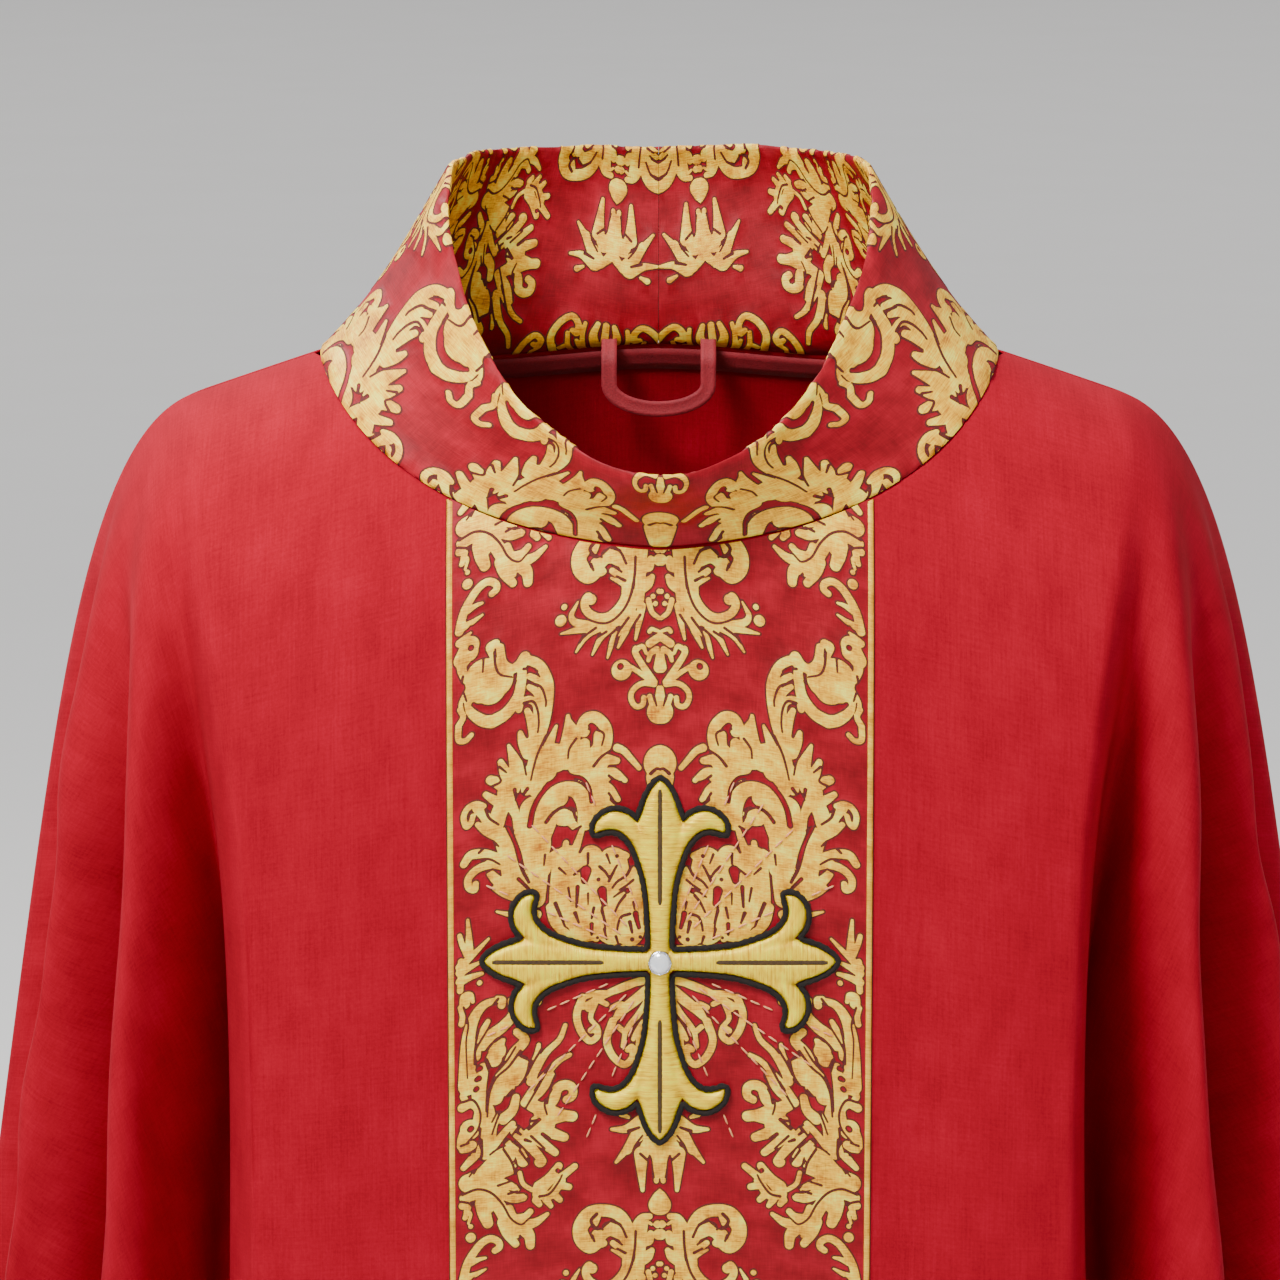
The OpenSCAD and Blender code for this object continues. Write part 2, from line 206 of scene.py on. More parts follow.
def shell(name, top, bottom, uv, mats, wrap=False):
    """A closed sheet between two grids of points."""
    n, m = top.shape[:2]
    k = n * m
    rows = [i * m for i in range(n)] + ([0] if wrap else [])
    sides = [[a + m - 1, b + m - 1, b + m - 1 + k, a + m - 1 + k] for a, b in zip(rows, rows[1:])]
    sides += [[b, a, a + k, b + k] for a, b in zip(rows, rows[1:])]
    if not wrap:
        sides += [[j, j + 1, j + 1 + k, j + k] for j in range(m - 1)]
        last = k - m
        sides += [[last + j + 1, last + j, last + j + k, last + j + 1 + k] for j in range(m - 1)]
    faces = np.concatenate([grid_faces(n, m, True, 0, wrap), grid_faces(n, m, False, k, wrap), sides])
    points = np.concatenate([top.reshape(-1, 3), bottom.reshape(-1, 3)])
    flat = np.asarray(uv).reshape(-1, 2)
    obj = make_mesh(name, points, faces.tolist(), mats, uv=np.concatenate([flat, flat]))
    edit = bmesh.new()
    edit.from_mesh(obj.data)
    bmesh.ops.recalc_face_normals(edit, faces=edit.faces)
    edit.to_mesh(obj.data)
    edit.free()
    return obj


# ---------- the woven pattern ----------
# One half of the repeat, from its left edge (x = -90) to the middle (x = 0), y down the cloth.
# The other half mirrors it. The points were placed over zoomed crops of the photo, and are
# rounded to 0.5 mm. Each stroke is [radius at its start, radius at its end, x, y, x, y, ...],
# drawn as a smooth curve; VEINS are cut out of STROKES.
TILE_W, TILE_H = 90, 288
CELL = 0.5
EDGE_W = 0.7
SLIMMER = 0.14
FAR = 2.5
CROSS_TILE_Y = 182.5
GROUND, EDGE, FIGURE = 0, 1, 2

STROKES = [
    # edge leaf scroll
    [2, 1.5, -86, 31, -84.5, 24.5, -82, 19.5, -78, 14.5, -74, 12.5, -70.5, 14, -70, 16.5, -72, 18],
    [1.5, 0.7, -82.5, 23, -79, 21.5, -76, 21],
    [1.8, 0.6, -84.5, 29.5, -80, 28, -76, 26],
    [1.8, 0.6, -86, 36, -83.5, 34, -81, 32.5],
    [1.2, 1.2, -82.5, 6.5],
    [2.3, 2.3, -82.5, 11.5],
    [1.1, 0.7, -84.5, -0.5, -82.5, 1, -83.5, 5],
    # C volute of the vase
    [2, 1.7, -14, 9.5, -13.5, 14.5, -13.5, 21.5, -15.5, 29.5, -20.5, 35, -25.5, 36, -30.5, 33.5, -32.5,
     29.5, -31, 26.5, -29.5, 28],
    [2.3, 2.3, -29.5, 28],
    [2, 1.7, -16.5, 14, -21.5, 12, -25, 14, -25.5, 17, -24.5, 17],
    [1.4, 0.6, -14, 24, -18, 21.5, -21, 20],
    [1.4, 1.8, -20.5, 17, -17, 20, -14, 25],
    # fan of the vase
    [2.4, 2.1, -7.5, 9.5, -8.5, 17, -8.5, 24, -11, 30.5, -15.5, 36, -22, 39, -28.5, 39],
    [2, 0.5, -31, 38.5, -36.5, 36.5, -38, 33.5, -36.5, 30.5, -35, 28],
    [2.1, 0.5, -31, 39.5, -37, 40, -42.5, 40.5],
    [2.1, 0.6, -25.5, 39.5, -31.5, 43, -36, 49],
    [2.1, 0.6, -21, 40, -25.5, 44.5, -29, 51],
    [2.3, 0.6, -15.5, 39, -20, 45.5, -22.5, 53],
    [2.3, 0.7, -11.5, 36, -15, 43, -18, 49],
    [2, 0.7, -8, 32.5, -9, 39, -10.5, 46],
    [1.4, 1.4, -41, 29.5],
    [2.5, 2.5, -42.5, 35],
    # inside of the vase
    [1.5, 0.7, -8, 15.5, -5.5, 14, -4.5, 12.5],
    [1.7, 0.7, -8.5, 24, -5.5, 21.5, -4.5, 20.5],
    [1.3, 0.8, -3.5, 13.5, -4, 17, -7, 18],
    [1.4, 1, -3.5, 20.5, -4.5, 24, -7.5, 26.5],
    [1.3, 1, -5, 30, -3.5, 35, -0.5, 37.5],
    [1.8, 1.8, -1, 9],
    [1.2, 1.2, -0.5, 26.5],
    [1.2, 1.2, -3, 28.5],
    [1.2, 1.2, -2, 31.5],
    [1.1, 0.8, -4.5, 43, -3.5, 42, -0.5, 43],
    # small ornament
    [4.4, 4.4, -16.5, 58.5],
    [1.1, 1.3, -12.5, 57.5, -8, 60.5, -3.5, 64],
    [1.4, 1.5, -10.5, 50, -10.5, 52, -7.5, 57, -2.5, 64],
    [1.3, 0.8, -10.5, 50.5, -7.5, 49, -6, 52],
    [1.5, 1, -1.5, 50.5, -4, 52, -5, 55],
    [1.8, 1.8, -4.5, 48, -1.5, 46, -0.5, 45.5],
    [1.3, 2.4, -0.5, 52.5, -0.5, 55.5, -0.5, 58],
    [1.3, 1.2, -2.5, 65, -7.5, 64.5, -11.5, 67, -12.5, 70.5, -10.5, 74, -7.5, 73.5, -7, 70.5],
    [1.1, 2.4, -0.5, 66.5, -0.5, 70.5, -0.5, 73],
    [5.2, 5.2, -0.5, 76.5],
    [1.2, 1.2, -4.5, 70, -3.5, 73, -1.5, 74],
    # shell at the edge
    [4.2, 3.6, -81.5, 38, -83.5, 41.5, -85, 43.5],
    [4.3, 4.3, -82, 40.5],
    [2.4, 1.8, -84.5, 43.5, -85, 47.5, -83.5, 52],
    [2, 1.3, -70.5, 39.5, -73, 40.5, -71.5, 45, -72.5, 49],
    [1.8, 2, -68.5, 46, -68.5, 49.5, -66.5, 53],
    [8.3, 8.3, -75.5, 53],
    [7.7, 7.7, -70.5, 55],
    [6.6, 6.6, -77, 57],
    [6.6, 6.6, -72.5, 58.5],
    [1.8, 2.4, -68.5, 41.5, -67.5, 48, -64, 51.5, -60.5, 50.5, -58, 47.5],
    [1.8, 2.9, -82.5, 61, -81, 66.5, -76.5, 71, -72, 72.5],
    [2.9, 2, -72, 72.5, -66, 70, -61, 64, -59.5, 57.5, -59, 51.5],
    [1.2, 0.8, -85, 66.5, -85.5, 62, -83.5, 57.5],
    [1.5, 1.2, -86.5, 71.5, -86.5, 77.5, -83.5, 78.5, -81, 76.5],
    [1.2, 1.5, -86, 64.5, -84.5, 68, -86.5, 71.5],
    # tall curling leaf
    [2, 2.9, -59.5, 49, -55.5, 49.5, -51, 53, -48, 60, -48, 67, -49.5, 75.5, -52, 83.5, -54, 92, -55.5,
     99, -57, 104],
    [1.4, 1.8, -56, 56, -52.5, 58.5, -49.5, 64],
    [1.4, 2, -56, 60.5, -52.5, 64, -50, 70.5],
    [1.5, 2, -60.5, 69.5, -59.5, 66.5, -56, 66, -53, 68.5, -52.5, 74.5, -53, 80],
    [1.4, 2.4, -57, 70.5, -55.5, 74.5, -54, 81],
    [1.2, 3, -60, 79.5, -59, 83.5, -56.5, 88.5],
    [3.7, 3.7, -54.5, 85],
    # left leaf of the acanthus
    [0.8, 3.6, -65, 84, -63, 89.5, -61, 95.5],
    [1.4, 3.6, -68.5, 90.5, -66.5, 95.5, -63.5, 100.5],
    [2, 3, -73, 97.5, -69.5, 99.5, -64, 104],
    [1.4, 3, -75, 103.5, -70.5, 107, -65.5, 108.5],
    [3.6, 3.6, -60.5, 96, -63.5, 102.5, -66.5, 107.5, -69, 112, -70.5, 117],
    [3.8, 3.8, -62, 99],
    [3.6, 3.6, -66.5, 104],
    [1.5, 1.3, -76, 108.5, -79, 107, -82.5, 108, -84.5, 111.5, -83.5, 116, -81.5, 115, -80.5, 112],
    [1.8, 3, -79, 109, -75, 113.5, -72.5, 120],
    [2.4, 1.2, -64, 110, -62, 115, -62, 120],
    # right leaf of the acanthus
    [0.8, 4.2, -44.5, 79, -47, 85, -50, 93, -52.5, 100.5],
    [1, 4.2, -39.5, 75.5, -39.5, 81, -40.5, 88.5, -44, 94.5],
    [0.8, 3.6, -39.5, 76.5, -36.5, 83, -38, 87],
    [4.8, 4.8, -45.5, 91],
    [4.8, 4.8, -49, 97.5],
    [3, 3, -53.5, 105],
    [4.8, 4.8, -40, 93.5],
    [2.7, 2.4, -31, 96, -25.5, 93.5, -23, 88, -23.5, 82, -27.5, 77.5, -31.5, 77.5, -33.5, 80.5, -32.5,
     83],
    [2.1, 1.8, -26.5, 85, -27, 89.5, -29.5, 92],
    [1.4, 2.4, -35, 89.5, -37, 94.5, -37, 98],
    [2.4, 2.7, -32.5, 88, -32.5, 93, -33.5, 97.5],
    [3.6, 1.5, -27.5, 100.5, -23.5, 96, -18.5, 96.5],
    [3.6, 1.2, -26.5, 104, -20.5, 101.5, -15, 105],
    [3.6, 1.2, -26.5, 107, -22, 108.5, -18, 113],
    [3.6, 1.8, -28.5, 110, -25, 113.5, -20, 117],
    [3.6, 3.6, -33.5, 100.5, -27.5, 104, -25, 111, -27.5, 118],
    # hooked arch
    [2.7, 3.6, -55.5, 123, -54, 116, -49.5, 110, -43, 106.5, -37, 107, -33.5, 111, -32, 117, -32,
     121.5],
    [3.6, 4.2, -43, 110, -47.5, 113.5, -51, 119.5, -52.5, 124],
    [1.2, 1.8, -49, 119.5, -45.5, 116.5, -40.5, 116, -38, 118, -40, 120.5, -43, 120],
    # tick and vase head
    [1.8, 1.2, -18.5, 91, -15.5, 92.5, -12, 96.5, -9, 100],
    [7.6, 7.6, 0.5, 98],
    [3.6, 3.6, -2.5, 104, -1.5, 108.5, -0.5, 112],
    [4.2, 1, -57, 151.5, -60.5, 147, -65, 141, -67, 132.5, -69.5, 125.5, -72.5, 118],
    [3, 3, -66.5, 122, -65.5, 127.5, -64, 134.5, -59.5, 142.5, -56, 152.5],
    [2.6, 1.8, -70, 132.5, -76, 129.5, -81.5, 129, -84.5, 132.5],
    [2, 1.5, -67, 136, -72.5, 134.5, -78.5, 135.5, -82.5, 139, -82.5, 143, -80, 144.5, -79.5, 142],
    [1.8, 3, -73, 138.5, -69.5, 142.5, -64, 145.5],
    [1.2, 3, -71.5, 145, -66.5, 148, -59.5, 150.5],
    [1.2, 2.4, -63.5, 153.5, -60.5, 155, -57, 155.5],
    [1.3, 3, -78.5, 116, -74.5, 119.5, -68.5, 122.5],
    [0.6, 1.5, -70.5, 155.5, -66.5, 157, -62.5, 158.5],
    # centre leaf
    [6, 3.6, -54.5, 113.5, -53.5, 122, -53.5, 129.5, -52.5, 137, -52.5, 144.5, -53, 152.5],
    [2.4, 3.6, -60.5, 122, -57, 130, -54.5, 138.5],
    [1.8, 3.6, -59.5, 116, -58.5, 122, -57, 126.5],
    [1.5, 3, -44.5, 133, -48, 136, -50, 140],
    [1.8, 2.4, -49, 123, -49, 130, -51, 134.5],
    [1.8, 3, -46.5, 121, -49, 125.5, -51, 129],
    # gold hook end of the arch
    [1.8, 1.3, -39.5, 120.5, -37, 118, -39, 116, -41.5, 117],
    [1.5, 1.8, -49, 121, -44, 118, -39.5, 120, -37, 122.5],
    # fan of little leaves behind the cross
    [1.4, 3, -40.5, 129.5, -41, 137, -40, 143, -41.5, 151.5],
    [1.2, 2.4, -33.5, 124.5, -36, 131.5, -38, 137],
    [1.2, 2, -32.5, 133.5, -35, 138, -38, 141],
    [1.2, 2, -34.5, 142.5, -37, 146, -39, 150.5],
    [3.6, 3.6, -39.5, 143],
    [3, 2.4, -44, 145.5, -43, 152.5, -40, 160, -37, 166],
    [1, 2.1, -28, 145.5, -31.5, 150.5, -33, 156.5, -33.5, 166],
    [1.5, 1, -24, 147, -26.5, 145, -31, 148],
    [1.8, 0.8, -24, 138.5, -27.5, 136.5, -28.5, 136],
    [1.4, 1.3, -23, 139.5, -21.5, 142.5, -20.5, 138, -21.5, 134.5],
    [1.5, 1.4, -14.5, 137, -17.5, 136, -19, 139.5, -21.5, 145.5, -22, 152.5],
    [1.3, 1.5, -11.5, 143, -16.5, 145.5, -20.5, 151.5, -22, 160],
    [1.4, 1.4, -10.5, 149, -15.5, 151, -19, 156.5, -21.5, 164],
    [1.3, 1.4, -9, 155, -14, 156.5, -17.5, 161.5, -19, 169.5],
    [1.2, 1.3, -8, 162.5, -11.5, 161.5, -15.5, 166, -17, 173],
    [1.2, 1.5, -27.5, 160, -28, 166, -27.5, 172],
    [1.8, 2.1, -47.5, 156.5, -45.5, 163.5, -39.5, 169.5, -33.5, 172.5],
    [1.2, 1.2, -7.5, 168, -8.5, 172, -11.5, 175],
    [1.1, 1.1, -13.5, 164, -14, 168, -12.5, 172],
    # lower-left sprig
    [2, 0.8, -82.5, 171, -82.5, 165, -83, 157.5],
    [1.2, 1.4, -86.5, 164, -85.5, 168, -83.5, 173],
    [2, 0.7, -86.5, 178, -80, 172.5, -74, 167],
    [2, 0.8, -86.5, 180.5, -82, 178.5, -78, 177],
    [2, 1, -86.5, 184.5, -82, 183, -77, 182],
    [1.5, 1.5, -86, 175.5, -86, 181.5, -86.5, 188.5],
    [2.5, 2.5, -69, 174],
    [1.8, 1.8, -63.5, 173.5],
    [1.5, 1.5, -72.5, 179],
    [1.3, 1.3, -78, 186],
    [2.4, 1, -84.5, 194.5, -84.5, 191.5, -82, 191, -81, 194],
    [1.2, 1.4, -86.5, 196, -85.5, 200, -86, 203.5],
    [1.4, 4.2, -70.5, 194.5, -76, 196, -80, 200.5, -82.5, 207.5, -83.5, 216, -83.5, 224, -83.5, 231.5],
    [1.2, 2.4, -74.5, 203.5, -77, 208, -79, 213.5, -80, 218.5],
    [1.8, 1, -68.5, 197, -68, 194.5, -70.5, 193.5],
    [2, 3, -64, 195.5, -63.5, 201.5, -68, 206.5, -72.5, 209.5, -76.5, 213.5],
    [1.2, 3.6, -68, 212.5, -70, 215.5, -72, 220.5],
    [3.9, 3.9, -70.5, 217],
    [1.8, 3.6, -62, 209.5, -58.5, 213.5, -63, 218.5, -65.5, 224, -69, 230, -71.5, 237.5],
    [3.7, 3.7, -60.5, 224],
    [3.9, 3.9, -62.5, 229.5],
    [3.6, 3.6, -66.5, 234],
    [2.4, 4.2, -76.5, 224, -78, 231.5, -78.5, 237.5, -75.5, 243.5, -75.5, 250.5],
    [1, 2.7, -52.5, 216, -53.5, 222, -57, 228],
    [1.1, 2, -41, 208.5, -43.5, 214.5, -49, 219.5, -53.5, 226.5, -56, 232],
    [1.1, 2.1, -39, 221.5, -44, 224, -49, 229, -54.5, 235, -58.5, 241],
    [2.1, 1.5, -47.5, 230, -51, 236, -54.5, 239.5],
    [2.6, 1.8, -52.5, 245.5, -46.5, 241, -44.5, 236, -41, 234.5, -38, 236, -38, 239.5, -40.5, 241],
    [1.8, 2.6, -62.5, 238.5, -64, 244, -68, 247.5],
    [1.4, 2.4, -70, 245.5, -72.5, 250.5, -73.5, 256],
    [3, 2.4, -57, 241, -53.5, 243.5, -47.5, 245.5, -43, 247.5, -38, 248.5],
    [2, 1.8, -86, 241, -82, 239.5, -79, 242.5, -79.5, 247],
    [1.5, 1.5, -85, 234.5, -85.5, 236, -84.5, 237.5],
    [4.5, 4.5, -82.5, 251],
    # curls under the cross
    [1.8, 1.4, -33.5, 197, -36, 204, -34.5, 211, -30.5, 216, -27, 214, -27.5, 210.5, -30, 211.5],
    [1.4, 1.2, -31, 202, -27.5, 198.5, -23, 200.5],
    [1.2, 1.4, -33.5, 197, -27.5, 195.5, -21.5, 195.5, -14.5, 193.5, -7.5, 190.5],
    [1.8, 1.4, -20.5, 208, -23, 216, -20.5, 223, -15.5, 227, -12, 224, -12, 219.5, -14, 220.5],
    [1.3, 1.2, -18, 210.5, -15, 212.5, -12, 208.5],
    [1.2, 1.3, -20.5, 208, -15.5, 204, -10.5, 200.5, -7, 197.5],
    [1.3, 1, -20.5, 202, -17, 200.5, -13.5, 202],
    [1.1, 1, -11.5, 216, -10, 212.5, -7.5, 208.5],
    [2, 2, -28, 211],
    [3.6, 2.4, -82.5, 250.5, -85, 254.5, -86, 258],
    [2, 1.4, -81.5, 258, -83.5, 259.5, -86, 260],
    [2, 1.4, -81, 263.5, -83.5, 266, -85.5, 268],
    [3, 3.6, -76, 250, -75, 255.5, -76.5, 261.5],
    [1.5, 1.8, -64, 250, -68, 254, -72.5, 259.5],
    [1.4, 2.6, -66.5, 258, -62, 261.5, -59.5, 266.5],
    [2.6, 1.8, -62.5, 253.5, -58.5, 258, -53.5, 264, -51, 267.5],
    [2.6, 1.7, -57, 255, -51, 259.5, -45.5, 264],
    [3, 2, -52.5, 253.5, -46.5, 255.5, -41.5, 257.5],
    [3, 1.8, -53.5, 250, -45.5, 249, -38, 248],
    [2.6, 2.6, -59.5, 267],
    [2.7, 2.7, -52, 267.5],
    [3.6, 3.6, -54.5, 254.5],
    [3.6, 3.6, -49, 251.5],
    # bird-like side bud
    [1.1, 1.1, -61, 272, -59.5, 277, -55.5, 280],
    [3.3, 1.8, -52, 279, -48, 275.5, -44, 270],
    [1.8, 1.4, -54, 284.5, -52.5, 286.5],
    [1.8, 1.2, -49.5, 284.5, -47.5, 287.5],
    [1.8, 1.4, -46.5, 282, -43.5, 285],
    [1.8, 1.5, -43.5, 278.5, -39.5, 279.5],
    [1.8, 1.5, -43, 275, -37, 270.5],
    [2.1, 2.1, -53.5, 282, -47.5, 282.5, -43, 276.5],
    # fan of the edge leaf
    [4.2, 4.2, -83.5, 275, -76.5, 272, -70.5, 266, -67, 264],
    [4.2, 1.2, -72.5, 271, -68, 271, -63.5, 271],
    [3.6, 1.2, -72.5, 269, -66.5, 267.5, -63.5, 269],
    [3, 1.3, -70.5, 276, -66.5, 277, -62, 279],
    [3, 1.8, -78.5, 275, -70.5, 279.5, -64, 283, -59.5, 283],
    [4.8, 4.8, -71.5, 269],
    [3.6, 3.6, -76.5, 273],
    [1.8, 1.5, -65.5, 287.5, -63.5, 291.5, -59, 291.5, -56.5, 289.5],
    [3, 1, -62, 295.5, -54.5, 294.5, -49, 291],
    [2.4, 3.6, -85, 281.5, -78.5, 280, -72.5, 283, -68.5, 289, -65.5, 294, -62, 297.5],
    [3.6, 2.4, -77, 284.5, -76.5, 289, -75, 293.5],
    [3, 1.8, -68, 293.5, -66.5, 298.5, -63, 303.5],
    [3, 2, -59.5, 297, -57, 300, -56.5, 304.5],
    [3.6, 3.6, -75.5, 286],
    [3.3, 3.3, -66.5, 295.5],
    [1.8, 1.2, -86, 285, -83.5, 285, -85, 290.5],
    # lotus under the cross
    [3, 0.8, -8.5, 252, -14.5, 255, -21, 255],
    [3, 0.8, -10, 258, -14, 263.5, -19, 269.5],
    [2.7, 1.8, -5.5, 253.5, -10.5, 260, -14, 264.5],
    [3.3, 1, -8, 266, -8, 273, -7.5, 282],
    [3, 1.2, -4.5, 261, -1.5, 267.5, -1.5, 278],
    [1.8, 2.4, -7.5, 251, -2.5, 255.5, -0.5, 258],
    [3.6, 3.6, -5, 263],
    [1.5, 0.8, -16.5, 248.5, -13.5, 250],
    [3, 1.8, -0.5, 263, -0.5, 270, -0.5, 275],
    # palmette
    [1, 4.2, 0.5, 282, -0.5, 285, -0.5, 288],
    [4.5, 4.5, -0.5, 288.5],
    [2.6, 3, -14, 314.5, -13.5, 306, -14, 298.5, -18, 292.5, -24.5, 290.5, -31, 291.5, -35, 297, -34.5,
     303, -30.5, 306.5, -27, 304, -27, 301.5],
    [2.4, 1.8, -31, 294, -33.5, 298.5, -31.5, 303.5],
    [1.8, 2.4, -23, 298, -19, 297.5, -15, 303.5],
    [1.8, 1.8, -27.5, 293.5, -28.5, 296],
    [1.8, 1.8, -27.5, 302],
    [1.7, 1.5, -10, 301.5, -10.5, 297.5, -8, 294, -4.5, 293.5],
    [1.1, 0.7, -8.5, 297.5, -5.5, 296, -3.5, 297],
    [1.5, 1.8, -4, 301, -7, 305, -8, 310.5, -8.5, 317.5],
    [2.5, 2.5, -0.5, 301.5],
    # fronds beside the middle stem
    [6.5, 7, -40, 137, -41, 150, -41, 159],
    [5.5, 8, -30, 137, -30, 150, -31, 165],
    [6.5, 8, -20.5, 139.5, -19.5, 150, -20, 167],
    [3.6, 6, -12.5, 146, -12, 156, -13, 170],
    # rosette, stems and side scrolls that the cross hides
    [5.2, 5.2, 0, 178],
    [1.5, 2.6, 0, 128, 0, 150, 0, 170],
    [2.6, 1.5, 0, 186, 0, 204, 0, 226],
    [2.5, 1.2, -3, 146, -4.5, 141, -3, 136],
    [2.5, 1.2, -3, 214, -5, 220, -3.5, 226],
    [2.4, 3, -8, 178, -24, 177.5, -42, 178],
    [3.4, 1.6, -46, 178, -58, 178, -68, 178],
    [2.6, 2, -46, 176, -53, 172, -57, 165, -53, 159],
    [2.6, 2, -46, 180, -53, 184, -57, 191, -53, 197],
    # scrolls below the middle
    [1.9, 1.4, -6, 190.5, -14, 192.5, -24, 196.5, -33, 201],
    [1.6, 1.1, -5, 193.5, -12, 199, -18, 204, -21, 212],
    [1.6, 1.1, -5, 199, -9, 205, -14.5, 212, -16, 219],
    [1.4, 1, -4.5, 206, -8, 212, -9.5, 219, -9, 225],
    [1.3, 1, -28, 200, -30, 206, -27, 210],
]

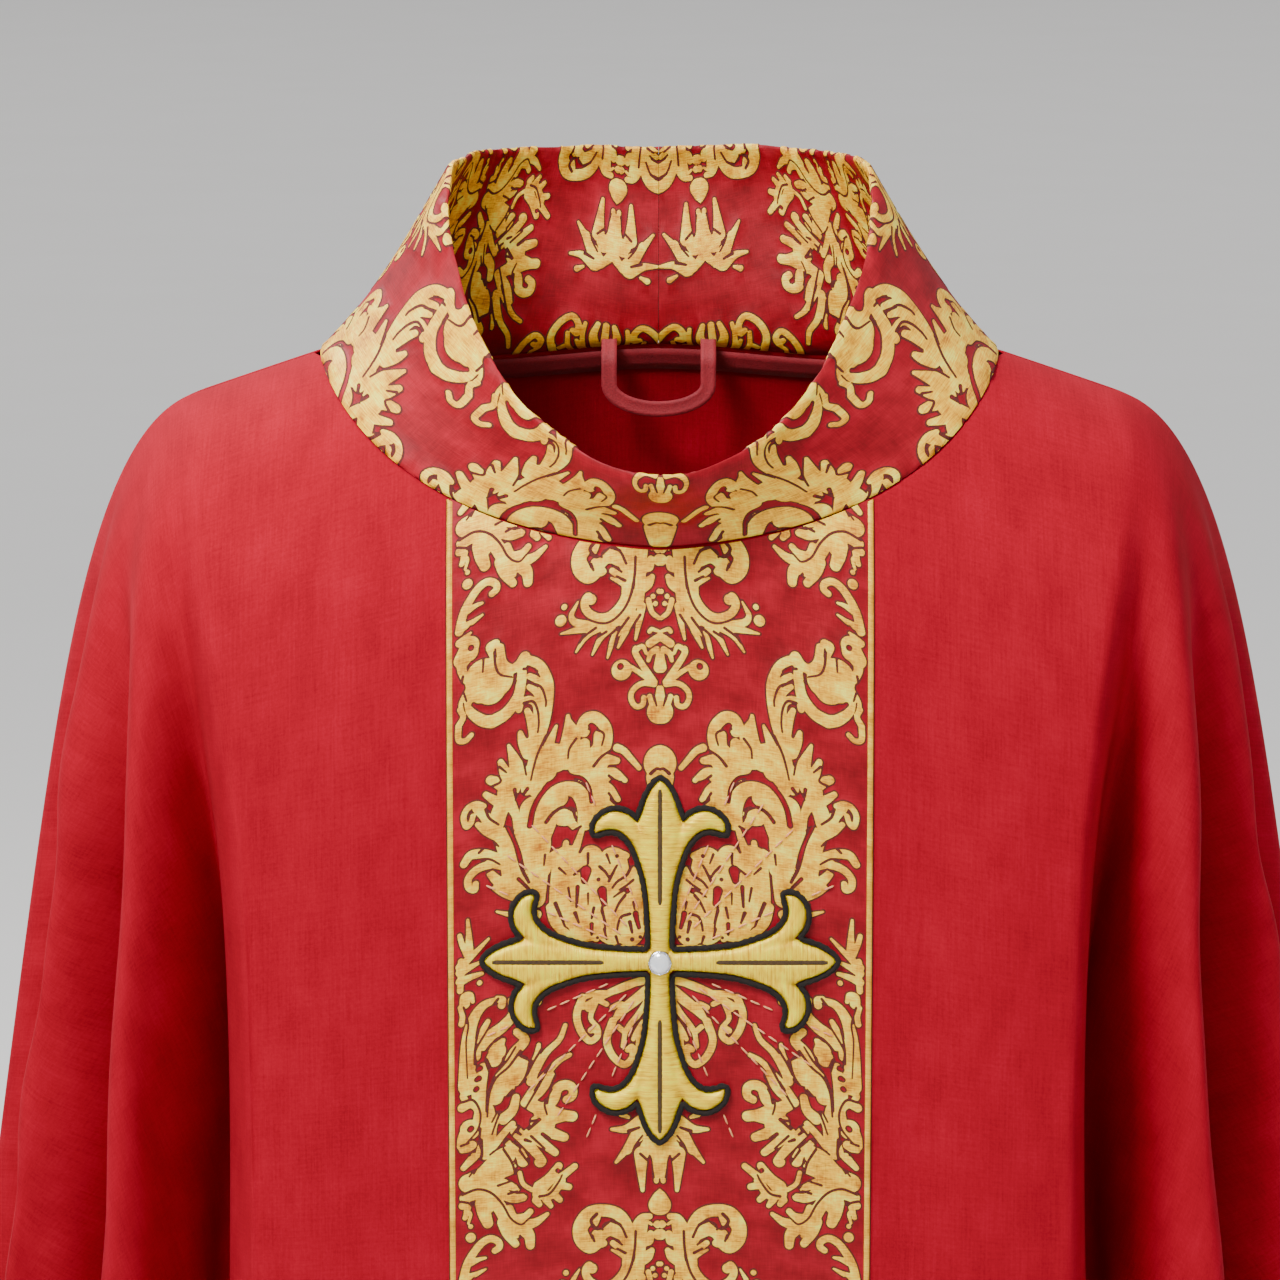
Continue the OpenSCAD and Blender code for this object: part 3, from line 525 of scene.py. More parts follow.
VEINS = [
    # C volute of the vase
    [0.5, 0.3, -14.5, 14.5, -17, 9.5, -21, 7.5],
    [0.6, 0.4, -15, 21.5, -18.5, 19.5],
    [0.5, 0.3, -10.5, 12, -11, 20.5, -13.5, 30, -18, 36, -23.5, 38.5, -30, 36.5, -34, 32.5, -34.5,
     26.5],
    # fan of the vase
    [0.5, 0.3, -27.5, 40, -32.5, 43, -34.5, 45.5],
    [0.5, 0.3, -23, 42, -27.5, 44.5],
    [0.5, 0.3, -17.5, 40.5, -23, 45, -24.5, 50],
    [0.5, 0.3, -13.5, 37, -18, 43, -20, 49.5],
    [0.5, 0.3, -8.5, 36, -12.5, 42, -13.5, 46],
    # small ornament
    [1.4, 0.9, -17, 57],
    [0.5, 0.3, -2.5, 70.5, -1.5, 74],
    # shell at the edge
    [1.1, 0.6, -81, 30.5],
    [1.3, 0.8, -81, 39],
    [0.5, 0.3, -71, 43, -70.5, 49, -68.5, 53, -63.5, 55],
    [0.5, 0.3, -75.5, 43, -76, 50.5],
    [1, 0.6, -80, 63.5, -77, 66.5, -72.5, 68, -68, 66, -64, 61.5, -62, 57],
    [0.5, 0.3, -84.5, 50.5, -85, 54.5, -83, 61.5],
    # tall curling leaf
    [0.5, 0.3, -55.5, 59, -51, 61.5, -49, 67, -49, 70],
    [0.5, 0.3, -58.5, 67, -54.5, 67, -52.5, 71, -52, 76.5, -52.5, 80.5],
    [0.5, 0.3, -58.5, 52.5, -54.5, 53, -52.5, 54.5],
    [0.5, 0.3, -49, 82.5, -52.5, 89.5, -54.5, 96, -55.5, 100.5],
    [0.5, 0.3, -62.5, 85, -59, 91, -57.5, 98],
    # left leaf of the acanthus
    [0.5, 0.3, -69, 92.5, -66, 95.5],
    [0.5, 0.3, -72.5, 100.5, -68.5, 99, -69.5, 96],
    [0.6, 0.4, -75, 110, -73.5, 114, -69.5, 117.5],
    [0.8, 0.5, -62.5, 103.5, -62, 107],
    [0.8, 0.5, -57, 104, -59.5, 107],
    # right leaf of the acanthus
    [0.5, 0.3, -42.5, 79, -43, 83, -44, 85],
    [0.5, 0.3, -36, 85.5, -39, 89.5, -39.5, 93.5],
    [0.5, 0.3, -30.5, 82, -26.5, 83, -24, 85, -25, 89.5],
    [0.6, 0.4, -28.5, 98, -25.5, 94.5, -21.5, 92],
    [0.5, 0.3, -22, 102.5, -19, 105, -16.5, 105.5],
    [0.5, 0.3, -22, 110, -20, 113],
    # hooked arch
    [1.3, 0.8, -56, 120, -54.5, 113, -51, 107, -45.5, 102.5, -40, 101.5, -34, 102.5, -30.5, 107, -29.5,
     113],
    [0.8, 0.5, -49, 119.5, -46, 116, -41.5, 114, -37.5, 116, -36.5, 119],
    # tick and vase head
    [0.7, 0.4, -4, 102.5, -1.5, 100.5, 0.5, 101],
    [0.5, 0.3, -78.5, 131.5, -73.5, 132, -69, 135],
    [0.5, 0.3, -78, 128.5, -72.5, 124.5, -69.5, 127],
    [0.5, 0.3, -75.5, 138, -72, 136.5],
    # centre leaf
    [1, 0.6, -65.5, 119.5, -62.5, 126.5, -61, 132.5, -59.5, 138.5, -56.5, 144.5],
    [0.8, 0.5, -61, 142.5, -57, 147, -54, 151.5],
    [0.5, 0.3, -49.5, 133.5, -50, 138],
    [0.5, 0.3, -56.5, 119.5, -55.5, 115, -54.5, 111],
    [0.5, 0.3, -59.5, 137, -61, 134.5],
    # fan of little leaves behind the cross
    [0.5, 0.3, -45.5, 155, -43, 161.5],
    [0.5, 0.3, -37, 160, -35, 164.5],
    [0.5, 0.3, -25, 158.5, -23.5, 168],
    # lower-left sprig
    [0.5, 0.3, -80, 220.5, -80, 216, -76.5, 210, -72.5, 204],
    [0.5, 0.3, -75.5, 218.5, -75, 216, -70.5, 211.5, -66.5, 211, -62.5, 206.5],
    [0.5, 0.3, -75, 220.5, -72.5, 228, -75, 236, -75.5, 243.5],
    [0.5, 0.3, -72.5, 228, -66.5, 222, -62.5, 216],
    [0.5, 0.3, -64, 235, -68, 239.5, -73, 248.5],
    [0.5, 0.3, -55.5, 223, -60.5, 220.5],
    [0.5, 0.3, -41.5, 218.5, -47.5, 223, -52.5, 229],
    [0.5, 0.3, -52, 232.5, -54.5, 236],
    [0.5, 0.3, -49, 242, -47.5, 235, -45.5, 230],
    [1.3, 0.8, -78, 224],
    [1.3, 0.8, -78.5, 228.5],
    [1.2, 0.7, -79.5, 233],
    [1.3, 0.8, -82, 250.5],
    # curls under the cross
    [0.5, 0.3, -78, 251, -78.5, 257, -77.5, 261.5, -79.5, 267.5, -83, 272],
    [0.5, 0.3, -86.5, 258, -83, 257],
    [0.5, 0.3, -86.5, 263.5, -82.5, 262.5],
    [0.8, 0.5, -58.5, 248.5, -62, 253, -60.5, 255],
    [0.8, 0.5, -52.5, 249, -57, 253],
    [0.8, 0.5, -51, 255.5, -48, 257.5],
    [0.7, 0.4, -58.5, 257.5, -56, 258.5],
    [0.7, 0.4, -64, 257.5, -60.5, 261],
    [0.6, 0.4, -57, 265.5, -54.5, 266.5],
    [0.6, 0.4, -50.5, 263, -47, 267],
    # bird-like side bud
    [1, 0.6, -44.5, 272],
    [0.5, 0.3, -52.5, 283, -48, 282, -44, 277, -42.5, 274],
    # fan of the edge leaf
    [0.5, 0.3, -70.5, 277, -65, 275.5],
    [0.5, 0.3, -66, 281, -62, 280],
    [0.5, 0.3, -86, 280, -79.5, 278, -73.5, 280, -68.5, 285.5, -65, 292, -60.5, 295, -57, 292.5],
    [0.5, 0.3, -86.5, 283, -82.5, 284.5, -80, 289],
    [0.5, 0.3, -72, 290.5, -71.5, 296],
    [0.5, 0.3, -61, 300, -60.5, 304],
    # lotus under the cross
    [0.5, 0.3, -12.5, 269, -11, 263, -7.5, 258],
    [0.5, 0.3, -8.5, 266, -4, 270.5, -2.5, 276.5],
    [0.8, 0.5, -13.5, 256, -9, 254.5],
    # palmette
    [0.7, 0.4, -27.5, 292, -30, 295, -27.5, 298.5, -24.5, 297.5, -21, 295, -17, 297],
    [0.6, 0.4, -29.5, 301.5, -28.5, 304],
    # fronds beside the middle stem
    [2.5, 1.5, -32, 142.5, -32.5, 146.5],
    [0.6, 0.4, -31, 135, -31, 139.5],
    [0.5, 0.3, -37, 143.5, -33.5, 141],
    [0.9, 0.5, -35.5, 149, -36, 157.5],
    [0.7, 0.4, -36.5, 160, -35, 164.5],
    [0.4, 0.2, -31, 152, -31, 157],
    [0.6, 0.4, -28.5, 158.5, -29.5, 163],
    [0.9, 0.5, -29.5, 165.5, -29.5, 170],
    [2.1, 1.3, -25, 151.5, -24, 157],
    [0.7, 0.4, -25, 160, -23.5, 165.5],
    [0.6, 0.3, -24, 168, -23, 172.5],
    [0.6, 0.4, -26, 141, -23.5, 143.5, -22, 146],
    [0.6, 0.4, -22, 147.5, -20, 143.5, -18.5, 141],
    [0.5, 0.3, -23, 136, -21.5, 140],
    [0.6, 0.4, -12.5, 142, -14.5, 145.5, -18.5, 148, -20.5, 150.5],
    [0.5, 0.3, -11.5, 147.5, -14, 149.5, -17.5, 151.5],
    [0.5, 0.3, -14.5, 151.5, -17, 152.5, -20, 154.5],
    [0.6, 0.4, -15, 154, -17.5, 157, -19.5, 161],
    [0.5, 0.3, -11.5, 157, -11, 160],
    [1.3, 0.8, -10.5, 162, -10, 164.5, -9, 168],
    [0.8, 0.5, -13, 165.5, -12, 170],
    [0.6, 0.4, -13, 162, -16.5, 163, -18, 166, -18.5, 169],
    [0.6, 0.3, -19, 171.5, -18, 174.5],
    [0.7, 0.4, -45, 155, -43, 160, -41, 165.5],
    [0.5, 0.3, -43.5, 140, -40.5, 143],
    [0.5, 0.3, -39.5, 149, -38.5, 155],
    [0.6, 0.4, -34.5, 134, -33, 132, -30.5, 130.5],
    [0.7, 0.4, -37.5, 125, -34, 123],
    [0.8, 0.5, -26.5, 146.5],
    [0.8, 0.5, -18.5, 137],
    [1.2, 0.7, -14, 152],
    [0.9, 0.5, -12, 173],
    [0.7, 0.4, -8.5, 172],
    [0.6, 0.4, -27, 171.5],
    # rosette, stems and side scrolls that the cross hides
    [1.8, 1.1, 0, 178],
    # bottom leaves
    [0.5, 0.3, -70, 194, -77, 203, -80, 214, -80.5, 222],
    [0.5, 0.3, -64, 209.5, -71, 212, -75.5, 218, -74.5, 225, -72, 229.5],
    [0.5, 0.3, -60.5, 218, -65.5, 224.5, -71, 229, -74, 236, -75, 246],
    [0.5, 0.3, -56, 221, -58.5, 230, -65, 238, -70, 246, -73, 254],
    [0.5, 0.3, -50, 216, -54.5, 223, -57.5, 229],
    [0.5, 0.3, -47, 224, -52, 233, -58, 243, -62, 248],
    [0.5, 0.3, -47, 236, -50, 242, -49, 247],
    [0.5, 0.3, -52, 249, -60, 250.5, -66, 257, -74, 263],
    [0.5, 0.3, -68, 261, -64, 268, -62, 277, -58, 282],
    [0.5, 0.3, -86, 238.5, -81, 238, -78, 244, -79, 251, -84, 257],
    [0.5, 0.3, -77.5, 256, -77.5, 264, -81, 271],
    [0.5, 0.3, -61, 262, -57, 268],
    [0.5, 0.3, -56, 256, -50, 262],
    [0.4, 0.2, -85, 196, -83, 204, -84, 212, -83.5, 228],
    [1.1, 0.7, -79, 224.5],
    [1.1, 0.7, -79.5, 229],
    [1.1, 0.7, -80, 233.5],
    [1.3, 0.8, -82.5, 251],
    [1, 0.6, -86, 264],
]


def spline(points, parts=5):
    p = np.concatenate([[2 * points[0] - points[1]], points, [2 * points[-1] - points[-2]]])
    t = (np.arange(parts) / parts)[:, None]
    out = []
    for a, b, c, d in zip(p, p[1:], p[2:], p[3:]):
        out.append(b + (c - a) * t / 2 + (a - 2.5 * b + 2 * c - d / 2) * t**2
                   + (1.5 * (b - c) + (d - a) / 2) * t**3)
    return np.concatenate(out + [points[-1:]])


def stroke_distance(rows, cols, strokes):
    """How far each grid point lies outside the nearest stroke, up to FAR; below zero inside."""
    field = np.full((rows, cols), FAR)
    for r0, r1, *flat in strokes:
        points = np.array(flat, float).reshape(-1, 2)
        line = spline(points) if len(points) > 1 else np.repeat(points, 2, 0)
        radius = np.linspace(r0, r1, len(line))
        for a, b, ra, rb in zip(line, line[1:], radius, radius[1:]):
            reach = max(ra, rb) + FAR
            lo = np.floor((np.minimum(a, b) - reach + (TILE_W, 0)) / CELL).astype(int)
            hi = np.ceil((np.maximum(a, b) + reach + (TILE_W, 0)) / CELL).astype(int)
            i = np.arange(max(lo[0], 0), min(hi[0], cols - 1) + 1)
            j = np.arange(lo[1], hi[1] + 1)
            x, y = np.meshgrid(i * CELL - TILE_W - a[0], j * CELL - a[1])
            step = b - a
            t = np.clip((x * step[0] + y * step[1]) / (step @ step + 1e-9), 0, 1)
            away = np.hypot(x - t * step[0], y - t * step[1]) - ra - (rb - ra) * t
            here = np.ix_(j % rows, i)
            field[here] = np.minimum(field[here], away)
    return field


def sample(grid, row, col):
    """Bilinear reading of a grid at fractional rows and columns."""
    row = np.clip(row, 0, grid.shape[0] - 1.001)
    col = np.clip(col, 0, grid.shape[1] - 1.001)
    i, j = row.astype(int), col.astype(int)
    shape = row.shape + (1,) * (grid.ndim - 2)
    f, g = (row - i).reshape(shape), (col - j).reshape(shape)
    return ((grid[i, j] * (1 - g) + grid[i, j + 1] * g) * (1 - f)
            + (grid[i + 1, j] * (1 - g) + grid[i + 1, j + 1] * g) * f)


def crossing(field, a, b):
    """Where the field passes zero between two neighbouring grid points, as (x, y)."""
    t = field[a] / (field[a] - field[b])
    return ((a[1] + (b[1] - a[1]) * t) * CELL - TILE_W, (a[0] + (b[0] - a[0]) * t) * CELL)


def level_lines(field):
    """The lines along which the field is zero, as arrays of points."""
    inside = field < 0
    mixed = inside[:-1, :-1].astype(int) + inside[:-1, 1:] + inside[1:, :-1] + inside[1:, 1:]
    links = {}
    for j, i in zip(*np.nonzero((mixed > 0) & (mixed < 4))):
        ring = [(j, i), (j, i + 1), (j + 1, i + 1), (j + 1, i)]
        cuts = [(a, b) if a < b else (b, a) for a, b in zip(ring, ring[1:] + ring[:1])
                if inside[a] != inside[b]]
        for a, b in zip(cuts[::2], cuts[1::2]):
            links.setdefault(a, []).append(b)
            links.setdefault(b, []).append(a)
    lines = []
    starts = [k for k, v in links.items() if len(v) == 1] + list(links)
    for start in starts:
        if start not in links:
            continue
        line, here = [start], start
        while links.get(here):
            after = links[here].pop()
            if here in links.get(after, []):
                links[after].remove(here)
            if not links[here]:
                del links[here]
            here = after
            line.append(here)
        links.pop(here, None)
        lines.append(np.array([crossing(field, *edge) for edge in line]))
    return lines


def thinned(line, off=0.05):
    """The line with only the points that its shape needs."""
    keep = [0, len(line) - 1]
    spans = [(0, len(line) - 1)]
    if len(line) > 8 and np.allclose(line[0], line[-1]):
        half = len(line) // 2
        keep.append(half)
        spans = [(0, half), (half, len(line) - 1)]
    while spans:
        a, b = spans.pop()
        if b - a < 2:
            continue
        chord = line[b] - line[a]
        away = line[a + 1:b] - line[a]
        reach = np.abs(away[:, 0] * chord[1] - away[:, 1] * chord[0]) / (np.hypot(*chord) + 1e-9)
        k = int(reach.argmax())
        if reach[k] > off:
            keep.append(a + 1 + k)
            spans += [(a, a + 1 + k), (a + 1 + k, b)]
    return line[sorted(set(keep))]


def tile_mesh():
    """Half a repeat as (points, triangles, kinds): each point is x, y and its height."""
    rows, cols = round(TILE_H / CELL), round(TILE_W / CELL) + 1
    field = stroke_distance(rows, cols, STROKES)
    field = np.maximum(field, -stroke_distance(rows, cols, VEINS)) + SLIMMER
    field = np.concatenate([field, field[:1]])
    points, edges = [], []
    for level in (0, EDGE_W):
        for line in level_lines(field - level - 1e-4):
            line = thinned(line)
            first = len(points)
            points += line.tolist()
            edges += [(first + k, first + k + 1) for k in range(len(line) - 1)]
    pitch = 6
    for y in np.arange(0, TILE_H + 1, pitch):
        for x in np.arange(-TILE_W, 1, pitch):
            rim = x in (-TILE_W, 0) or y in (0, TILE_H)
            near = sample(field, np.array([y / CELL]), np.array([(x + TILE_W) / CELL]))[0]
            if rim or near < -0.8 or near > EDGE_W + 0.8:
                points.append([float(x), float(y)])
    table = np.array(points)
    for axis, value in ((0, -TILE_W), (0, 0), (1, 0), (1, TILE_H)):
        on = np.nonzero(np.abs(table[:, axis] - value) < 1e-6)[0]
        on = on[np.argsort(table[on, 1 - axis])]
        edges += list(zip(on.tolist(), on[1:].tolist()))
    flat, _, tris, *_ = delaunay_2d_cdt([Vector(p) for p in points], edges, [], 0, 1e-4)
    flat = np.array([tuple(p) for p in flat])
    tris = np.array(tris)
    middle = flat[tris].mean(1)
    depth = sample(field, middle[:, 1] / CELL, (middle[:, 0] + TILE_W) / CELL)
    kinds = np.where(depth < 0, FIGURE, np.where(depth < EDGE_W, EDGE, GROUND))
    here = sample(field, flat[:, 1] / CELL, (flat[:, 0] + TILE_W) / CELL)
    height = FIGURE_H * np.clip(1 - here / EDGE_W, 0, 1)
    return np.column_stack([flat, height]), tris, kinds


def woven(x0, x1, y0, y1):
    """The pattern over a stretch of cloth, its middle at x = 0."""
    points, tris, kinds = TILE
    parts = []
    for m in range(math.floor(x0 / TILE_W), math.ceil(x1 / TILE_W)):
        for k in range(math.floor(y0 / TILE_H), math.ceil(y1 / TILE_H)):
            mirror = m % 2 == 0
            x = -points[:, 0] + m * TILE_W if mirror else points[:, 0] + (m + 1) * TILE_W
            turned = tris[:, ::-1] if mirror else tris
            moved = np.column_stack([x, points[:, 1] + k * TILE_H, points[:, 2]])
            parts.append((moved, turned))
    base = np.cumsum([0] + [len(p) for p, _ in parts])
    every = np.concatenate([p for p, _ in parts])
    faces = np.concatenate([t + b for (_, t), b in zip(parts, base)])
    _, first, same = np.unique(np.round(every[:, :2], 3), axis=0, return_index=True, return_inverse=True)
    return every[first], same.ravel()[faces], np.tile(kinds, len(parts))


def clipped(points, tris, kinds, inside):
    """The part of a triangle mesh where inside, one value a point, is above zero."""
    within = inside > 0
    count = within[tris].sum(1)
    new, cuts, faces, sorts = [], {}, tris[count == 3].tolist(), kinds[count == 3].tolist()

    def cut(a, b):
        key = (min(a, b), max(a, b))
        if key not in cuts:
            t = inside[a] / (inside[a] - inside[b])
            cuts[key] = len(points) + len(new)
            new.append(points[a] + (points[b] - points[a]) * t)
        return cuts[key]

    some = (count > 0) & (count < 3)
    for tri, kind in zip(tris[some].tolist(), kinds[some].tolist()):
        ring = []
        for a, b in zip(tri, tri[1:] + tri[:1]):
            if within[a]:
                ring.append(a)
            if within[a] != within[b]:
                ring.append(cut(a, b))
        faces += [[ring[0], ring[k], ring[k + 1]] for k in range(1, len(ring) - 1)]
        sorts += [kind] * (len(ring) - 2)
    every = np.concatenate([points, new]) if new else points
    used, faces = np.unique(np.array(faces), return_inverse=True)
    return every[used], faces.reshape(-1, 3), np.array(sorts)


# ---------- the collar ----------
RIM_HALF, RIM_BACK, RIM_FRONT = 93, 87, -27
COLLAR_HALF_T = 1.5
COLLAR_TILE_Y = 115
MM_PER_DEGREE = 2.4
AROUND = 360
CLIMB = 44
ROLL = 10


def seam(a):
    x = NECK_HALF * np.sin(a)
    front = hang(x, neck_v(x, FRONT), FRONT)
    return np.where((np.cos(a) > 0)[..., None], front, hang(x, neck_v(x, BACK), BACK))


def rim(a):
    c = np.cos(a)
    low = (np.maximum(c + 0.15, 0) / 1.15) ** 1.3
    across = RIM_HALF * np.sin(a) * (1 + 0.08 * c * c)
    return np.stack([across, -10 - 112.5 * c - 27.5 * c * c, RIM_BACK - (RIM_BACK - RIM_FRONT) * low], -1)


def band(a, t):
    """The CAD model's collar at angle a (0 at the front), from its seam (t = 0) to its rim (t = 1)."""
    c = np.cos(a)
    s = seam(a)
    r = rim(a)
    q = ease(15, 80, np.minimum(np.degrees(a) % 360, 360 - np.degrees(a) % 360))[..., None]
    w = np.stack([-np.sin(a), c, np.zeros_like(a)], -1)
    up = np.array([0, 0, 1])
    p = s + w * 18 * q + 15 * up
    o = r + w * (6 - 18 * q) - (12 + 8 * q) * up
    t = np.asarray(t)[..., None]
    k = 1 - t
    return k**3 * s + 3 * k * k * t * p + 3 * k * t * t * o + t**3 * r


def collar_middle(a, t, e=0.01):
    """The middle of the collar as it is made, slightly uneven, and its outward normals."""
    out = np.cross(band(a + e, t) - band(a - e, t), band(a, t + e) - band(a, t - e))
    out /= np.linalg.norm(out, axis=-1, keepdims=True)
    uneven = 0.9 * np.sin(5 * a + 1) + 0.6 * np.sin(9 * a + 2) + 0.35 * np.sin(17 * a)
    return band(a, t) + out * (uneven * ease(0.1, 0.6, t))[..., None], out


def collar_path():
    """Points over the whole collar: rows round the neck, columns up the outside, over the rolled rim and down
    the inside. Also their outward normals and the distance along each row's path."""
    a = np.radians(np.arange(AROUND + 1))[:, None]
    t = np.linspace(0, 1, CLIMB + 1)[None, :]
    a, t = np.broadcast_arrays(a, t)
    e = 0.01
    middle, out = collar_middle(a, t)
    climb = band(a, t + e) - band(a, t - e)
    swell = COLLAR_HALF_T * (0.35 + 0.65 * np.sqrt(1 - (1 - np.minimum(t * 18, 1)) ** 2))[..., None]
    tip = climb[:, -1:] / np.linalg.norm(climb[:, -1:], axis=-1, keepdims=True)
    turn = np.linspace(0, math.pi, ROLL + 1)[None, 1:-1, None]
    roll = middle[:, -1:] + COLLAR_HALF_T * (np.cos(turn) * out[:, -1:] + np.sin(turn) * tip)
    path = np.concatenate([middle + swell * out, roll, (middle - swell * out)[:, ::-1]], 1)
    run = np.concatenate([out, np.cos(turn) * out[:, -1:] + np.sin(turn) * tip, -out[:, ::-1]], 1)
    far = np.linalg.norm(np.diff(path, axis=1), axis=-1)
    return path, run, np.concatenate([np.zeros((AROUND + 1, 1)), np.cumsum(far, 1)], 1)


def collar_brocade(name, mats, path, normal, far, outside):
    """The patterned cloth of the collar: its outer face up to the top of the roll, or its inner one."""
    mid = path[:, CLIMB // 2]
    girth = np.concatenate([[0], np.cumsum(np.linalg.norm(np.diff(mid, axis=0), axis=-1))])
    girth -= girth[AROUND // 2]
    turned = np.roll(np.arange(AROUND), AROUND // 2)
    order = np.concatenate([turned, [turned[0]]])
    total = far.max()
    points, tris, kinds = woven(girth[0], girth[-1], COLLAR_TILE_Y - total, COLLAR_TILE_Y)
    points, tris, kinds = clipped(points, tris, kinds, girth[-1] - np.abs(points[:, 0]))
    row = np.interp(points[:, 0], girth, np.arange(AROUND + 1))
    ring = path[order]
    run = far[order]
    top = run[:, CLIMB + ROLL // 2]
    climb = COLLAR_TILE_Y - points[:, 1]
    split = np.interp(row, np.arange(AROUND + 1), top)
    end = np.interp(row, np.arange(AROUND + 1), run[:, -1])
    inside = np.minimum(climb, split - climb) if outside else np.minimum(climb - split, end - climb)
    marks = np.column_stack([points, row, climb])
    marks, tris, kinds = clipped(marks, tris, kinds, inside)
    row, climb = marks[:, 3], marks[:, 4]
    steps = np.arange(math.ceil(total) + 2.0)
    column = np.array([np.interp(steps, one, np.arange(path.shape[1])) for one in run])
    col = sample(column, row, climb)
    place = sample(ring, row, col)
    away = sample(normal[order], row, col)
    away /= np.linalg.norm(away, axis=-1, keepdims=True)
    place = place + away * marks[:, 2:3]
    return make_mesh(name, place, tris.tolist(), mats, kinds, uv=marks[:, :2])


# ---------- materials ----------

def rgb(r, g, b):
    """A colour given as screen values from 0 to 255, in linear light."""
    return tuple(c / 3294.6 if c <= 10 else ((c / 255 + 0.055) / 1.055) ** 2.4 for c in (r, g, b)) + (1,)


class Shade:
    """A procedural material: a Principled shader fed by a few noise patterns over the flat cloth."""

    def __init__(self, name, coords="UV", **sockets):
        self.mat = bpy.data.materials.new(name)
        self.mat.use_nodes = True
        self.tree = self.mat.node_tree
        self.bsdf = self.tree.nodes["Principled BSDF"]
        self.coords = self.node("TexCoord").outputs[coords]
        for key, value in sockets.items():
            self.bsdf.inputs[key.replace("_", " ")].default_value = value

    def node(self, kind, **inputs):
        made = self.tree.nodes.new("ShaderNode" + kind)
        for key, value in inputs.items():
            self.feed(made.inputs[key.replace("_", " ")], value)
        return made

    def feed(self, socket, value):
        if isinstance(value, bpy.types.NodeSocket):
            self.tree.links.new(value, socket)
        else:
            socket.default_value = value

    def noise(self, size_x, size_y, detail=2.0, rough=0.5, turn=0.0):
        """A noise whose spots are about size_x by size_y metres on the cloth."""
        spread = self.node("Mapping", Vector=self.coords, Rotation=(0, 0, turn),
                           Scale=(1 / size_x, 1 / size_y, 1 / size_x))
        return self.node("TexNoise", Vector=spread.outputs[0], Scale=1.0, Detail=detail,
                         Roughness=rough).outputs["Fac"]

    def ramp(self, fac, *stops):
        made = self.node("ValToRGB", Fac=fac)
        band = made.color_ramp
        while len(band.elements) < len(stops):
            band.elements.new(0.5)
        for element, (place, colour) in zip(band.elements, stops):
            element.position = place
            element.color = colour
        return made.outputs["Color"]

    def math(self, kind, a, b=0.0):
        made = self.tree.nodes.new("ShaderNodeMath")
        made.operation = kind
        self.feed(made.inputs[0], a)
        self.feed(made.inputs[1], b)
        return made.outputs[0]

    def weighed(self, *terms):
        """A sum of patterns, each times its weight."""
        total = self.math("MULTIPLY", *terms[0])
        for term in terms[1:]:
            total = self.math("ADD", total, self.math("MULTIPLY", *term))
        return total

    def finish(self, colour, height=None, depth=0.0002, strength=0.6):
        self.feed(self.bsdf.inputs["Base Color"], colour)
        if height is not None:
            bump = self.node("Bump", Height=height, Distance=depth, Strength=strength)
            self.feed(self.bsdf.inputs["Normal"], bump.outputs[0])
        return self.mat


def main_cloth():
    """Light matt wool: fine vertical slubs over a soft mottle."""
    s = Shade("crimson_wool", Roughness=0.85, Specular_IOR_Level=0.12, Sheen_Weight=0.04,
              Sheen_Roughness=0.4, Sheen_Tint=rgb(255, 60, 70))
    slub = s.noise(0.0009, 0.03, 3.0, 0.65)
    weft = s.noise(0.02, 0.0011, 2.0, 0.6)
    grain = s.noise(0.0013, 0.0016, 3.0, 0.7)
    mottle = s.noise(0.016, 0.03, 3.0)
    tone = s.weighed((slub, 0.26), (weft, 0.16), (grain, 0.3), (mottle, 0.28))
    colour = s.ramp(tone, (0.34, rgb(133, 1, 22)), (0.5, rgb(156, 3, 30)), (0.66, rgb(173, 9, 40)))
    return s.finish(colour, s.weighed((slub, 0.3), (weft, 0.2), (grain, 0.5)), 0.0004, 0.4)


def brocade_ground():
    """Satin ground of the brocade."""
    s = Shade("brocade_ground", Roughness=0.55, Specular_IOR_Level=0.2)
    rib = s.noise(0.006, 0.0006, 2.0, 0.6)
    warp = s.noise(0.0007, 0.008, 2.0, 0.6)
    cloud = s.noise(0.02, 0.014, 3.0, 0.55)
    tone = s.weighed((rib, 0.2), (warp, 0.2), (cloud, 0.6))
    colour = s.ramp(tone, (0.34, rgb(112, 1, 12)), (0.5, rgb(143, 4, 23)), (0.64, rgb(168, 12, 36)))
    return s.finish(colour, s.weighed((rib, 0.5), (warp, 0.5)), 0.0003, 0.4)


def brocade_edge():
    """Dark line woven round every figure."""
    s = Shade("brocade_edge", Roughness=0.8)
    grain = s.noise(0.0008, 0.0008)
    return s.finish(s.ramp(grain, (0.3, rgb(60, 8, 2)), (0.7, rgb(104, 20, 6))))


def brocade_gold(name="brocade_gold", low=(188, 102, 4), mid=(255, 190, 24), high=(255, 240, 84)):
    """Gold weft: short horizontal floats with soft changes of tone."""
    s = Shade(name, Roughness=0.5, Metallic=0.1, Specular_IOR_Level=0.4)
    floats = s.noise(0.005, 0.0006, 3.0, 0.6)
    warp = s.noise(0.0008, 0.006, 2.0, 0.6)
    cloud = s.noise(0.011, 0.009, 3.0, 0.6)
    tone = s.weighed((floats, 0.35), (warp, 0.15), (cloud, 0.5))
    colour = s.ramp(tone, (0.36, rgb(*low)), (0.5, rgb(*mid)), (0.61, rgb(*high)))
    return s.finish(colour, s.weighed((floats, 0.7), (warp, 0.3)), 0.0004, 0.7)


